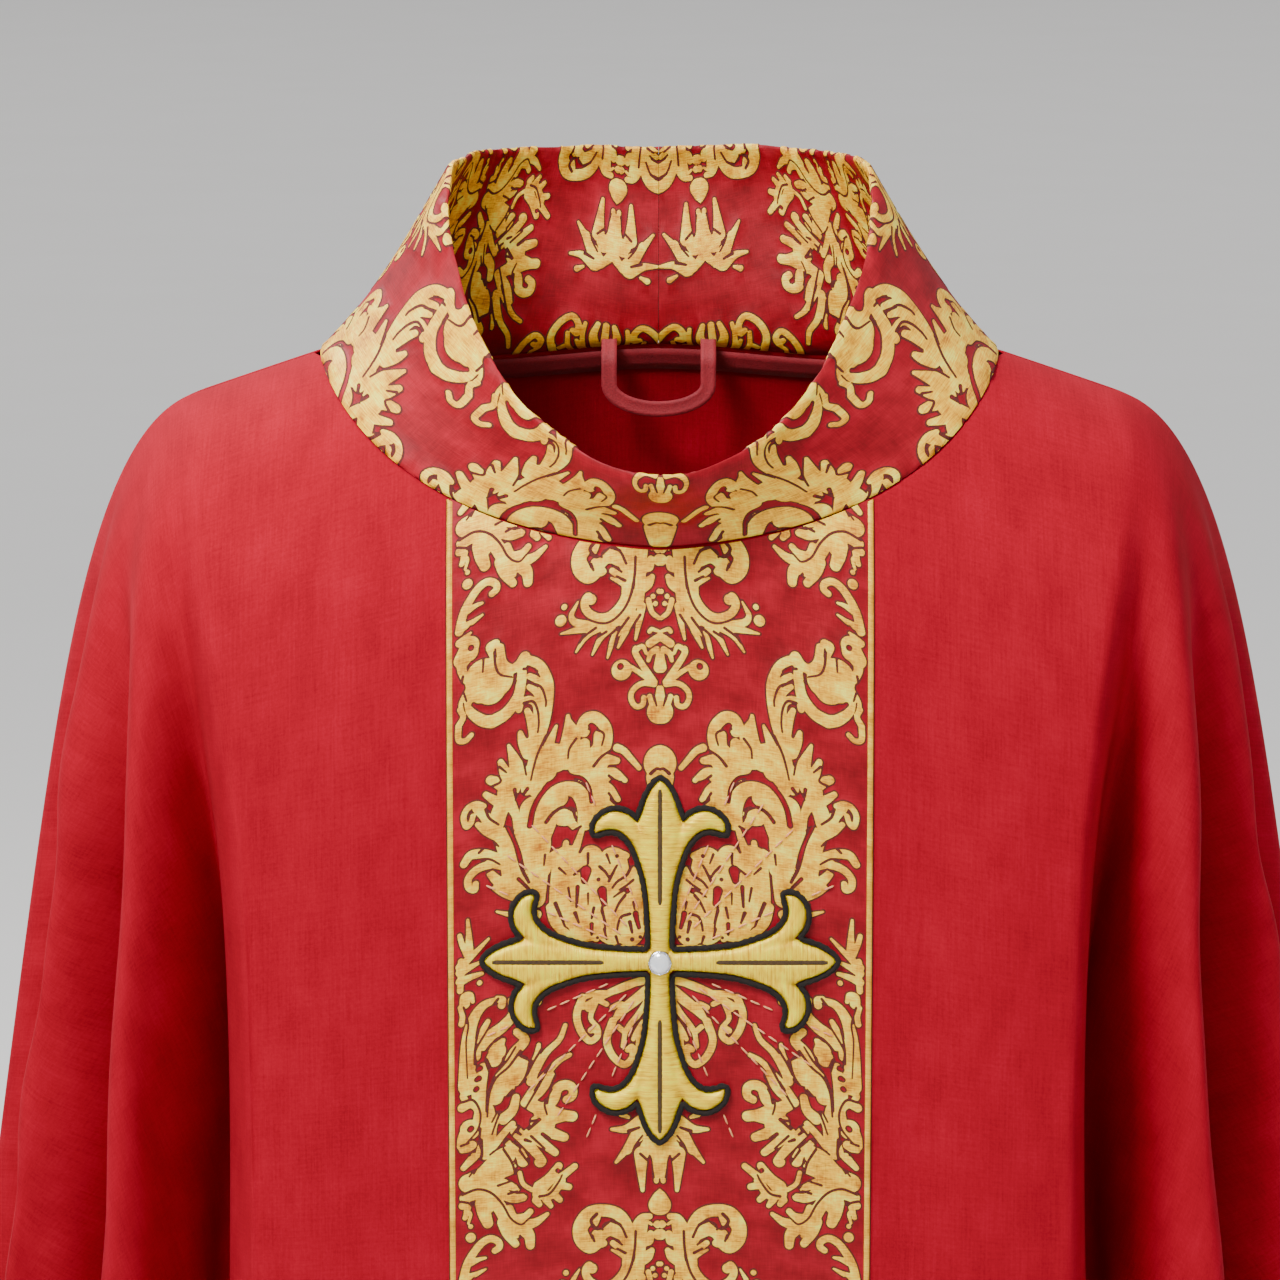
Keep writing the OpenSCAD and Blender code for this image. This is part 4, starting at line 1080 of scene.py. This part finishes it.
def satin_gold():
    """Close satin stitch: the threads run across each arm."""
    s = Shade("satin_gold", Roughness=0.45, Metallic=0.2, Specular_IOR_Level=0.3)
    thread = s.noise(0.02, 0.00055, 2.0, 0.5)
    strand = s.noise(0.006, 0.0016, 2.0, 0.5)
    cloud = s.noise(0.01, 0.012)
    tone = s.weighed((thread, 0.4), (strand, 0.3), (cloud, 0.3))
    colour = s.ramp(tone, (0.36, rgb(210, 152, 0)), (0.5, rgb(255, 214, 4)), (0.63, rgb(255, 244, 40)))
    return s.finish(colour, s.weighed((thread, 0.7), (strand, 0.3)), 0.0006, 0.8)


def plain_thread(name, low, high, size=0.0008, rough=0.7, **sockets):
    """Thread, cord, tape or felt of one colour with fibres and small changes of tone."""
    s = Shade(name, "Object", Roughness=rough, **sockets)
    fibre = s.noise(size, size, 3.0, 0.65)
    cloud = s.noise(size * 12, size * 12)
    colour = s.ramp(s.weighed((fibre, 0.7), (cloud, 0.3)), (0.35, rgb(*low)), (0.65, rgb(*high)))
    return s.finish(colour, fibre, size * 0.5, 0.7)


def paste_stone():
    """White faceted paste with a foil back."""
    s = Shade("paste_stone", "Object", Roughness=0.2, Metallic=0.35, Coat_Weight=1.0, Specular_IOR_Level=1.0)
    return s.finish(s.ramp(s.noise(0.002, 0.002), (0.3, rgb(244, 248, 255)), (0.7, rgb(255, 255, 255))))


def silver():
    s = Shade("silver_setting", "Object", Roughness=0.22, Metallic=1.0)
    wear = s.noise(0.0012, 0.0012, 3.0, 0.6)
    return s.finish(s.ramp(wear, (0.3, rgb(190, 190, 198)), (0.7, rgb(236, 236, 240))), wear, 0.00005, 0.3)


# ---------- pieces ----------

def settle(obj, stands_for=(), drop=None, body="root"):
    """Hides the CAD nodes that a piece stands for and ties the piece to its body. When drop is given, the
    piece's transform is only baked in and it is tied to no body; the body that drop names is not used."""
    if stands_for:
        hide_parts(*stands_for)
    if drop:
        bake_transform(obj)
    else:
        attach(obj, body)
    return obj


def panel_grid(top, bottom, rows, straight=95, fan=126):
    """Flat coordinates over the whole panel, from top to bottom along each column."""
    start, angle = columns(straight, fan)
    t = (np.arange(rows + 1) / rows)[:, None] ** 1.25
    d0, d1 = top(start, angle), bottom(start, angle)
    return along_column(start[None], angle[None], d0 + (d1 - d0) * t)


def layer(name, side, x, v, lo, hi, mats):
    uv = np.stack([x, v], -1)
    return shell(name, above(x, v, side, hi), above(x, v, side, lo), uv, mats)


def make_cloth(side, mats):
    word = SIDES[side]

    def neck(s, a):
        return np.where(a == 0, neck_v(s, side), 0)

    def hem(turn):
        return lambda s, a: hem_d(s, a, side) - turn

    x, v = panel_grid(neck, hem(0), 150)
    cloth_obj = layer(f"{word}_cloth", side, x, v, -CLOTH_T, 0, [mats["cloth"]])
    settle(cloth_obj, [f"{word}_panel", f"{word}_drop_panel"], f"{word}_drop")

    hx, hv = panel_grid(hem(HEM_TURN), hem(0.6), 4)
    facing = layer(f"{word}_hem", side, hx, hv, HEM_FAR, HEM_NEAR, [mats["cloth"]])
    settle(facing, [f"{word}_hem_facing"], f"{word}_drop")
    stitches = hem_stitches(f"{word}_hem_stitches", side, mats["seam_thread"])
    settle(stitches, (), f"{word}_drop")


def bars(name, starts, ends, radius, mat, sides=5):
    """Short round stitches with tapered ends."""
    points, faces = [], []
    turn = np.linspace(0, 2 * math.pi, sides, endpoint=False)
    for a, b in zip(starts, ends):
        axis = (b - a) / np.linalg.norm(b - a)
        side = np.cross(axis, (0.3, 1, 0.2))
        side /= np.linalg.norm(side)
        other = np.cross(axis, side)
        base = len(points)
        for t, r in ((0, 0.35), (0.2, 1), (0.8, 1), (1, 0.35)):
            ring = radius * r * (np.outer(np.cos(turn), side) + np.outer(np.sin(turn), other))
            points += (a + (b - a) * t + ring).tolist()
        for k in range(3):
            for j in range(sides):
                p, q = base + k * sides + j, base + k * sides + (j + 1) % sides
                faces.append([p, q, q + sides, p + sides])
        faces.append(list(range(base + sides - 1, base - 1, -1)))
        faces.append(list(range(base + 3 * sides, base + 4 * sides)))
    return make_mesh(name, points, faces, [mat])


def hem_stitches(name, side, mat, rise=17, pitch=4.6, length=3.2):
    start, angle = columns(60, 90)
    x, v = along_column(start, angle, hem_d(start, angle, side) - rise)
    run = np.concatenate([[0], np.cumsum(np.hypot(np.diff(x), np.diff(v)))])
    at = np.arange(4, run[-1] - 4, pitch)

    def spot(s):
        return above(np.interp(s, run, x), np.interp(s, run, v), side, 0.1)
    return bars(name, spot(at), spot(at + length), 0.28, mat, 4)


def cloth_run(side):
    """The pattern's y down the middle of the cloth, as a table of v and y."""
    v = np.arange(0, LENGTH[side] + 2.0)
    line = hang(np.zeros_like(v), v, side)
    far = np.concatenate([[0], np.cumsum(np.linalg.norm(np.diff(line, axis=0), axis=-1))])
    cross = np.interp(-CROSS_Z[side], -line[:, 2], v)
    return v, CROSS_TILE_Y + (far - np.interp(cross, v, far)) * TILE_H / PATTERN_REPEAT


PATTERN_REPEAT = 293.4


def make_orphrey(side, mats):
    word = SIDES[side]
    table_v, table_y = cloth_run(side)
    points, tris, kinds = woven(-TILE_W, TILE_W, table_y[60], table_y[-1])
    v = np.interp(points[:, 1], table_y, table_v)
    top, end = neck_v(points[:, 0], side), hem_d(points[:, 0], 0, side)
    inside = np.minimum(v - top - TRIM_GAP, end - TRIM_GAP - v)
    points, tris, kinds = clipped(points, tris, kinds, inside)
    v = np.interp(points[:, 1], table_y, table_v)
    place = above(points[:, 0] * ORPHREY_HALF / TILE_W, v, side, GROUND_H + points[:, 2])
    faces = tris if side == FRONT else tris[:, ::-1]
    obj = make_mesh(f"{word}_brocade_band", place, faces.tolist(), mats["brocade"], kinds, uv=points[:, :2])
    settle(obj, [f"{word}_orphrey", f"{word}_drop_orphrey"], f"{word}_drop")

    x = np.linspace(-LINING_HALF, LINING_HALF, 18)[None]
    t = np.linspace(0, 1, 110)[:, None]
    v = (neck_v(x, side) + 4) * (1 - t) + (hem_d(x, 0, side) - 4) * t
    x = np.broadcast_to(x, v.shape)
    lining = layer(f"{word}_band_lining", side, x, v, LINING_LO, LINING_HI, [mats["canvas"]])
    settle(lining, [f"{word}_interlining", f"{word}_drop_interlining"], f"{word}_drop")

    trims = [make_braid(side, hand, mats) for hand in (-1, 1)]


# The braid's section: place across it from the inner edge, height, and whether it is dark (inner edge: seam;
# outer edge: painted shadow)
BRAID_SHAPE = [(0, 0.7, 1), (0.35, 1.05, 1), (0.5, 1.0, 0), (0.9, 1.4, 0), (1.7, 1.55, 0), (2.5, 1.4, 0),
               (2.95, 0.95, 1), (3.2, 0.5, 1), (3.5, 0.1, 1)]


def make_braid(side, hand, mats):
    word, which = SIDES[side], "left" if hand < 0 else "right"
    across = np.array([hand * (BRAID_IN + p[0]) for p in BRAID_SHAPE])
    height = np.array([p[1] for p in BRAID_SHAPE])
    t = np.linspace(0, 1, 420)[:, None] ** 1.1
    v = (neck_v(across, side) + TRIM_GAP) * (1 - t) + (hem_d(across, 0, side) - 1.2) * t
    x = np.broadcast_to(across, v.shape)
    twill = 0.05 * np.sin(v / 0.9) * (height > 1.3)
    top = above(x, v, side, height + twill)
    obj = shell(f"{word}_trim_{which}", top, above(x, v, side, 0.03), np.stack([x, v], -1), mats["braid"])
    # Dark faces: the braid's real dark seam along its inner edge, and painted shadow along its outer edge and
    # on its sides.
    dark = [int(p[2]) for p in BRAID_SHAPE[:-1]]
    sheet = np.tile(dark, len(t) - 1)
    kinds = np.concatenate([sheet, sheet, np.ones(len(obj.data.polygons) - 2 * len(sheet), int)])
    obj.data.polygons.foreach_set("material_index", kinds.astype(np.int32))
    return settle(obj, [f"{word}_braid_{which}", f"{word}_drop_braid_{which}"], f"{word}_drop")


def make_collar(mats):
    path, normal, far = collar_path()
    outer = collar_brocade("collar_face", mats["brocade"], path, normal, far, True)
    facing = collar_brocade("collar_inside", mats["brocade"], path, normal, far, False)
    a = np.radians(np.arange(0, AROUND, 3))[:, None]
    t = np.linspace(0.03, 0.96, 14)[None]
    a, t = np.broadcast_arrays(a, t)
    middle, out = collar_middle(a, t)
    uv = np.stack([np.degrees(a) * MM_PER_DEGREE, t * 60], -1)
    half = 0.4 * out
    canvas = shell("collar_stiffener", middle + half, middle - half, uv, [mats["canvas"]], wrap=True)
    settle(outer, ["collar_outer"])
    settle(facing, ["collar_facing"])
    settle(canvas, ["collar_canvas"])


TAPE_HALF = 146.5
TAPE_TOP, TAPE_END = 2, 13


def make_tape(mat):
    a = np.radians(np.arange(0, 360, 3))[:, None]
    down = np.linspace(TAPE_TOP, TAPE_END, 4)[None]
    x = TAPE_HALF * np.sin(a)
    rings = []
    for h in (-CLOTH_T - 0.2, -CLOTH_T - 0.9):
        front = above(x, neck_v(x, FRONT) + down, FRONT, h)
        back = above(x, neck_v(x, BACK) + down, BACK, h)
        rings.append(np.where((np.cos(a) > 0)[..., None], front, back))
    uv = np.stack(np.broadcast_arrays(np.degrees(a) * MM_PER_DEGREE, down), -1)
    tape = shell("neck_binding", rings[0], rings[1], uv, [mat], wrap=True)
    settle(tape, ["neck_tape"])


def make_loop(mat):
    """Ribbon loop inside the back of the neck."""
    half, drop, width = 22.5, 30, 7
    legs = np.linspace(0, 1, 9)[:-1]
    arc = np.radians(np.linspace(180, 360, 19))
    z0 = -drop + half / 2
    line = [(-half, 4 + (z0 - 4) * t) for t in legs]
    line += [(half * math.cos(a), z0 + half / 2 * math.sin(a)) for a in arc]
    line += [(half, z0 + (4 - z0) * t) for t in legs + legs[1]]
    line = np.array(line)
    step = np.gradient(line, axis=0)
    step /= np.linalg.norm(step, axis=1, keepdims=True)
    across = np.stack([-step[:, 1], step[:, 0]], -1)
    u = np.linspace(-0.5, 0.5, 5)
    top = line[:, None] + across[:, None] * (u[None, :, None] * width)
    lean = 59 + 9 * ease(-8, 4, line[:, 1])[:, None] + 0.5 * np.cos(u * math.pi)[None]
    faces = [np.stack([top[..., 0], lean + h, top[..., 1]], -1) for h in (0.4, -0.4)]
    far = np.cumsum(np.linalg.norm(np.gradient(line, axis=0), axis=1))
    uv = np.stack(np.broadcast_arrays(far[:, None], u[None] * width), -1)
    loop = shell("ribbon_loop", faces[0], faces[1], uv, [mat])
    settle(loop, ["hanging_loop"])


# ---------- the cross ----------
# Half of one arm's outline, pointing up: the stem with the outer edge of the side petal, the side petal's
# inner edge, and the pointed petal
ARM_RUNS = [
    [(4, 5.5), (4.2, 12), (4.7, 21), (5.9, 32), (8.5, 41), (10.8, 47), (13.6, 51), (16.8, 53.6), (20, 54.6),
     (23.3, 54.4), (28.2, 52.8)],
    [(28.2, 52.8), (27.4, 57.6), (24.1, 60.9), (20.1, 62.5), (16, 62.1), (12.7, 60.5), (9.6, 57.5)],
    [(9.6, 57.5), (7.8, 61.7), (5.9, 67.4), (3.2, 72.3), (0, 75.5)],
]
ARM_H = 3.2
ARM_ROUND = 5.5
ARM_INNER = 4.75
VEIN_DEPTH, VEIN_HALF = 1.1, 1.15
PETAL_DEPTH, PETAL_HALF = 0.9, 1.5
SATIN_H, SATIN_PITCH = 0.05, 1.7
CORD_R = 1.15
CORD_SIDES = 14
CORD_STEP, CORD_LAY = 0.8, 3.4
STONE_R, STONE_RISE = 4.25, 1.9
FACETS = 16
CLAWS, CLAW_SIDES = 8, 64
STITCH_L, STITCH_PITCH = 4.4, 6
RAY_RUNS = [(23, 24, 50), (23, 70, 78), (44, 20, 76), (56, 20, 76), (67, 24, 50), (67, 70, 78)]


def arm_outline():
    half = np.concatenate([spline(np.array(run, float), 3)[:-1] for run in ARM_RUNS] + [[(0, 75.5)]])
    return np.concatenate([half, (half * (-1, 1))[-2::-1]])


def turned(points, quarter):
    c, s = [(1, 0), (0, 1), (-1, 0), (0, -1)][quarter]
    return np.stack([points[:, 0] * c - points[:, 1] * s, points[:, 0] * s + points[:, 1] * c], -1)


def cross_outline():
    return np.concatenate([turned(arm_outline(), q) for q in range(4)])


def reach_to(points, line):
    """Distance from each point to a closed line."""
    a, b = line[None], np.roll(line, -1, 0)[None]
    p = points[:, None]
    t = np.clip(((p - a) * (b - a)).sum(-1) / ((b - a) ** 2).sum(-1), 0, 1)[..., None]
    return np.linalg.norm(p - a - t * (b - a), axis=-1).min(1)


def filled(outline, pitch):
    """Triangles that fill an outline, with evenly spaced points inside."""
    n = len(outline)
    lo, hi = outline.min(0), outline.max(0)
    x, y = np.meshgrid(np.arange(lo[0], hi[0], pitch), np.arange(lo[1], hi[1], pitch))
    x[::2] += pitch / 2
    spots = np.stack([x.ravel(), y.ravel()], -1)
    spots = spots[reach_to(spots, outline) > pitch * 0.55]
    edges = [(k, (k + 1) % n) for k in range(n)]
    every = np.concatenate([outline, spots])
    flat, _, tris, *_ = delaunay_2d_cdt([Vector(p) for p in every], edges, [list(range(n))], 1, 1e-5)
    return np.array([tuple(p) for p in flat]), np.array(tris)


def on_cross(p, side, h):
    """A point of the cross's own plane (right, up) laid on the cloth at height h. The plane is upright, so
    each point slides down the cloth to its own level."""
    level = CROSS_Z[side] + UPRIGHT * p[:, 1]
    v = -level
    for _ in range(4):
        v = v + hang(p[:, 0], v, side)[:, 2] - level
    return above(p[:, 0], v, side, h)


def dome(points, outline, height, rounding):
    k = np.minimum(reach_to(points, outline) / rounding, 1)
    return height * np.sqrt(1 - (1 - k) ** 2)


def make_arm(name, side, quarter, mat):
    whole = cross_outline()
    own = np.concatenate([[(0, 0), (ARM_INNER, ARM_INNER)], arm_outline(), [(-ARM_INNER, ARM_INNER)]])
    flat, tris = filled(own, 1.1)
    h = dome(flat, whole, ARM_H, ARM_ROUND)
    vein = ease(22, 26, flat[:, 1]) * (1 - ease(69, 72, flat[:, 1]))
    h = h - VEIN_DEPTH * vein * np.exp(-((flat[:, 0] / VEIN_HALF) ** 2))
    fold = np.abs(np.abs(flat[:, 0]) - np.interp(flat[:, 1], (30, 45, 57.5), (4.6, 6.6, 9.4)))
    deep = PETAL_DEPTH * ease(34, 50, flat[:, 1]) * (1 - ease(57, 59, flat[:, 1]))
    h = h - deep * np.exp(-((fold / PETAL_HALF) ** 2))
    threads = SATIN_H * np.sin(flat[:, 1] * 2 * math.pi / SATIN_PITCH + np.sin(flat[:, 0] / 3))
    h = np.maximum(h + threads * (h > 0.8), 0)
    place = on_cross(turned(flat, quarter), side, CROSS_H + h)
    faces = tris if side == FRONT else tris[:, ::-1]
    return make_mesh(name, place, faces.tolist(), [mat], uv=flat)


def strip(name, lines, side, widths, heights, mat):
    """Narrow raised threads along lines in the cross's plane."""
    points, faces = [], []
    for line in lines:
        step = np.gradient(line, axis=0)
        across = np.stack([-step[:, 1], step[:, 0]], -1) / np.linalg.norm(step, axis=1, keepdims=True)
        base = len(points)
        taper = np.sin(np.linspace(0.25, math.pi - 0.25, len(line)))[:, None] ** 0.4
        for offset, lift in ((-1, 0), (-0.5, 0.8), (0.5, 0.8), (1, 0)):
            flat = line + across * taper * offset * widths / 2
            points += on_cross(flat, side, heights + lift * 0.35).tolist()
        n = len(line)
        for k in range(3):
            for j in range(n - 1):
                a = base + k * n + j
                quad = [a, a + 1, a + n + 1, a + n]
                faces.append(quad if side == BACK else quad[::-1])
    return make_mesh(name, points, faces, [mat])


def make_cord(name, side, mat):
    """Black two-ply cord couched round the cross."""
    line = cross_outline()
    for _ in range(2):
        line = (np.roll(line, 1, 0) + 6 * line + np.roll(line, -1, 0)) / 8
    step = np.roll(line, -1, 0) - np.roll(line, 1, 0)
    out = np.stack([step[:, 1], -step[:, 0]], -1) / np.linalg.norm(step, axis=1, keepdims=True)
    line = line + out * CORD_R
    far = np.concatenate([[0], np.cumsum(np.linalg.norm(np.diff(line, axis=0, append=line[:1]), axis=1))])
    rings = int(far[-1] / CORD_STEP)
    s = np.linspace(0, far[-1], rings, endpoint=False)
    closed = np.concatenate([line, line[:1]])
    flat = np.stack([np.interp(s, far, closed[:, k]) for k in (0, 1)], -1)
    step = np.roll(flat, -1, 0) - np.roll(flat, 1, 0)
    side_way = np.stack([step[:, 1], -step[:, 0]], -1) / np.linalg.norm(step, axis=1, keepdims=True)
    turns = np.linspace(0, 2 * math.pi, CORD_SIDES, endpoint=False)
    rng = np.random.default_rng(4)
    fuzz = 0.09 * rng.standard_normal((rings, CORD_SIDES))
    plies = round(far[-1] / CORD_LAY)
    twist = 0.1 * np.cos(2 * turns[None] - 2 * math.pi * plies * (s / far[-1])[:, None])
    radius = CORD_R * (1 + twist + fuzz)
    points = []
    for k, turn in enumerate(turns):
        shifted = flat + side_way * (radius[:, k] * math.cos(turn))[:, None]
        points.append(on_cross(shifted, side, CROSS_H - 0.5 + CORD_R + radius[:, k] * math.sin(turn)))
    points = np.stack(points, 1).reshape(-1, 3)
    faces = []
    for j in range(rings):
        base, above_it = j * CORD_SIDES, (j + 1) % rings * CORD_SIDES
        for k in range(CORD_SIDES):
            near = (k + 1) % CORD_SIDES
            quad = [base + k, base + near, above_it + near, above_it + k]
            faces.append(quad if side == FRONT else quad[::-1])
    return make_mesh(name, points, faces, [mat])


def make_padding(name, side, mat):
    outline = cross_outline()
    mid = np.roll(outline, -1, 0) - np.roll(outline, 1, 0)
    inward = np.stack([-mid[:, 1], mid[:, 0]], -1) / np.linalg.norm(mid, axis=1, keepdims=True)
    flat, tris = filled(outline + inward * 0.5, 2.2)
    n = len(flat)
    top = on_cross(flat, side, CROSS_H - 0.05 + 0 * flat[:, 0])
    low = on_cross(flat, side, GROUND_H + FIGURE_H + 0.05 + 0 * flat[:, 0])
    edge = [(a, (a + 1) % len(outline)) for a in range(len(outline))]
    faces = tris.tolist() + (tris[:, ::-1] + n).tolist() + [[b, a, a + n, b + n] for a, b in edge]
    return make_mesh(name, np.concatenate([top, low]), faces, [mat], smooth=False)


def make_stone(name, side, mat, metal_name, metal):
    """Brilliant-cut stone in a ring with eight claws."""
    ring = np.arange(FACETS) * 2 * math.pi / FACETS
    stone_rings = [(0.02, -1.4), (1, 0), (1, 0.35), (0.8, 1.1), (0.52, 1.6), (0.0, 1.6)]
    points, faces = [], []
    for k, (r, h) in enumerate(stone_rings):
        shift = 0 if k % 2 else math.pi / FACETS
        wide = STONE_R * r
        points += [(wide * math.cos(t + shift), wide * math.sin(t + shift), h + STONE_RISE) for t in ring]
    for k in range(len(stone_rings) - 1):
        for j in range(FACETS):
            a, b = k * FACETS + j, k * FACETS + (j + 1) % FACETS
            faces += [[a, b, b + FACETS], [a, b + FACETS, a + FACETS]]
    made = [make_mesh(name, placed(points, side), flipped(faces, side), [mat], smooth=False)]

    metal_rings = [(0.86, 0), (1.2, 0), (1.22, 0.9), (1.12, 2.1), (1.0, 2.1), (0.95, 1.4), (0.86, 1.2)]
    points, faces = [], []
    turn = np.linspace(0, 2 * math.pi, CLAW_SIDES, endpoint=False)
    for r, h in metal_rings:
        claw = 1 + 0.03 * (h > 2) * np.cos(CLAWS * turn)
        lift = h + (0.75 * np.maximum(np.cos(CLAWS * turn), 0) ** 6 if h > 2 else 0 * turn)
        wide = STONE_R * r * claw
        points += np.stack([wide * np.cos(turn), wide * np.sin(turn), lift], -1).tolist()
    n = len(metal_rings)
    for k in range(n):
        base, over = k * CLAW_SIDES, (k + 1) % n * CLAW_SIDES
        for j in range(CLAW_SIDES):
            near = (j + 1) % CLAW_SIDES
            faces.append([base + j, base + near, over + near, over + j])
    made.append(make_mesh(metal_name, placed(points, side), flipped(faces, side), [metal]))
    return made


def placed(points, side):
    points = np.array(points)
    return on_cross(points[:, :2], side, CROSS_H + ARM_H - 1.2 + points[:, 2])


def flipped(faces, side):
    return faces if side == FRONT else [face[::-1] for face in faces]


def make_rays(name, side, mat):
    starts, ends = [], []
    for q in range(4):
        for degrees, first, last in RAY_RUNS:
            turn = math.radians(degrees + 90 * q)
            way = np.array([math.cos(turn), math.sin(turn)])
            for r in np.arange(first, last + 0.1, STITCH_PITCH):
                starts.append(way * r)
                ends.append(way * (r + STITCH_L))
    lift = GROUND_H + FIGURE_H + 0.25
    return bars(name, on_cross(np.array(starts), side, lift), on_cross(np.array(ends), side, lift), 0.42, mat)


def make_cross(side, mats):
    pre = "" if side == FRONT else "back_"
    padding = make_padding(f"{pre}cross_felt", side, mats["felt"])
    settle(padding, [f"{pre}cross_padding"])
    for q, which in enumerate(("top", "left", "bottom", "right")):
        arm = make_arm(f"{pre}satin_arm_{which}", side, q, mats["satin"])
        settle(arm, [f"cross_arm_{which}" if side == FRONT else "back_cross_arms"])
    veins = [turned(np.stack([np.zeros(30), np.linspace(24, 71.5, 30)], -1), q) for q in range(4)]
    vein = strip(f"{pre}cross_veins", veins, side, 2.8, CROSS_H + ARM_H - 0.7, mats["vein"])
    settle(vein)
    settle(make_cord(f"{pre}cross_cord", side, mats["cord"]), [f"{pre}cross_outline"])
    stone, metal = make_stone(f"{pre}paste_stone", side, mats["stone"], f"{pre}claw_ring", mats["silver"])
    settle(stone, [f"{pre}stone"])
    settle(metal, [f"{pre}stone_setting"])
    settle(make_rays(f"{pre}ray_threads", side, mats["ray"]), [f"{pre}ray_stitches"])


# ---------- camera, floor and light ----------
TARGET = Vector((-0.0085, -0.12, -0.102))
CAMERA_WAY = Vector((0, -0.9816, 0.1908))
CAMERA_FAR = 2.3
VIEW_ANGLE = 13.46
FLOOR_Z = -1.36
LIGHTS_AIM = Vector((0, 0, -0.35))
WORLD_LIGHT = 0.38


def make_stage():
    data = bpy.data.cameras.new("camera")
    camera = bpy.data.objects.new("camera", data)
    camera.location = TARGET + CAMERA_WAY * CAMERA_FAR
    camera.rotation_euler = (-CAMERA_WAY).to_track_quat("-Z", "Y").to_euler()
    data.angle = math.radians(VIEW_ANGLE)
    bpy.context.scene.collection.objects.link(camera)
    bpy.context.scene.camera = camera

    paint = Shade("floor_paint", "Object", Roughness=0.9)
    mat = paint.finish(paint.ramp(paint.noise(0.3, 0.3), (0, rgb(246, 244, 241)), (1, rgb(250, 248, 246))))
    span = 60000
    corners = [(-span, -span, 0), (span, -span, 0), (span, span, 0), (-span, span, 0)]
    floor = make_mesh("floor", np.array(corners) + (0, 0, FLOOR_Z / MM), [[0, 1, 2, 3]], [mat])

    for name, place, size, power in (
        ("key", (-0.7, -1.05, 1.3), 0.6, 58),
        ("fill", (2.4, -2.6, 0.8), 1.6, 5),
        ("back_left", (-1.8, 2.4, 2.4), 1.4, 110),
        ("ceiling", (0, 0, 12), 50, 5000),
    ):
        light = bpy.data.lights.new(name, "AREA")
        light.size = size
        light.energy = power
        lamp = bpy.data.objects.new(name, light)
        lamp.location = place
        lamp.rotation_euler = (LIGHTS_AIM - lamp.location).to_track_quat("-Z", "Y").to_euler()
        bpy.context.scene.collection.objects.link(lamp)

    world = bpy.data.worlds.new("studio")
    world.use_nodes = True
    world.node_tree.nodes["Background"].inputs[0].default_value = rgb(236, 236, 238)
    world.node_tree.nodes["Background"].inputs[1].default_value = WORLD_LIGHT
    bpy.context.scene.world = world


make_stage()
TILE = tile_mesh()
MATS = {
    "cloth": main_cloth(),
    "brocade": [brocade_ground(), brocade_edge(), brocade_gold()],
    "braid": [brocade_gold("braid_gold", (190, 122, 16), (236, 172, 40), (252, 210, 84)),
              # Dark braid thread: the inner seam's own colour, and painted shadow along the braid's outer
              # edge.
              plain_thread("braid_seam_and_painted_shadow", (70, 14, 6), (110, 34, 14))],
    "canvas": plain_thread("canvas", (196, 184, 156), (220, 208, 182), 0.0012),
    "satin": satin_gold(),
    "vein": plain_thread("vein_thread", (44, 26, 2), (84, 56, 8), 0.0006),
    "cord": plain_thread("black_cord", (8, 5, 4), (30, 20, 14), 0.0006, 0.95),
    "ray": plain_thread("ray_thread", (222, 128, 84), (246, 176, 124), 0.0006, 0.6),
    "felt": plain_thread("felt", (196, 176, 120), (214, 196, 142)),
    "tape": plain_thread("seam_tape", (120, 14, 26), (156, 28, 40)),
    "seam_thread": plain_thread("seam_thread", (132, 14, 28), (170, 30, 44), 0.0006),
    "stone": paste_stone(),
    "silver": silver(),
}
for side in (FRONT, BACK):
    make_cloth(side, MATS)
    make_orphrey(side, MATS)
    make_cross(side, MATS)
make_collar(MATS)
make_tape(MATS["tape"])
make_loop(MATS["tape"])
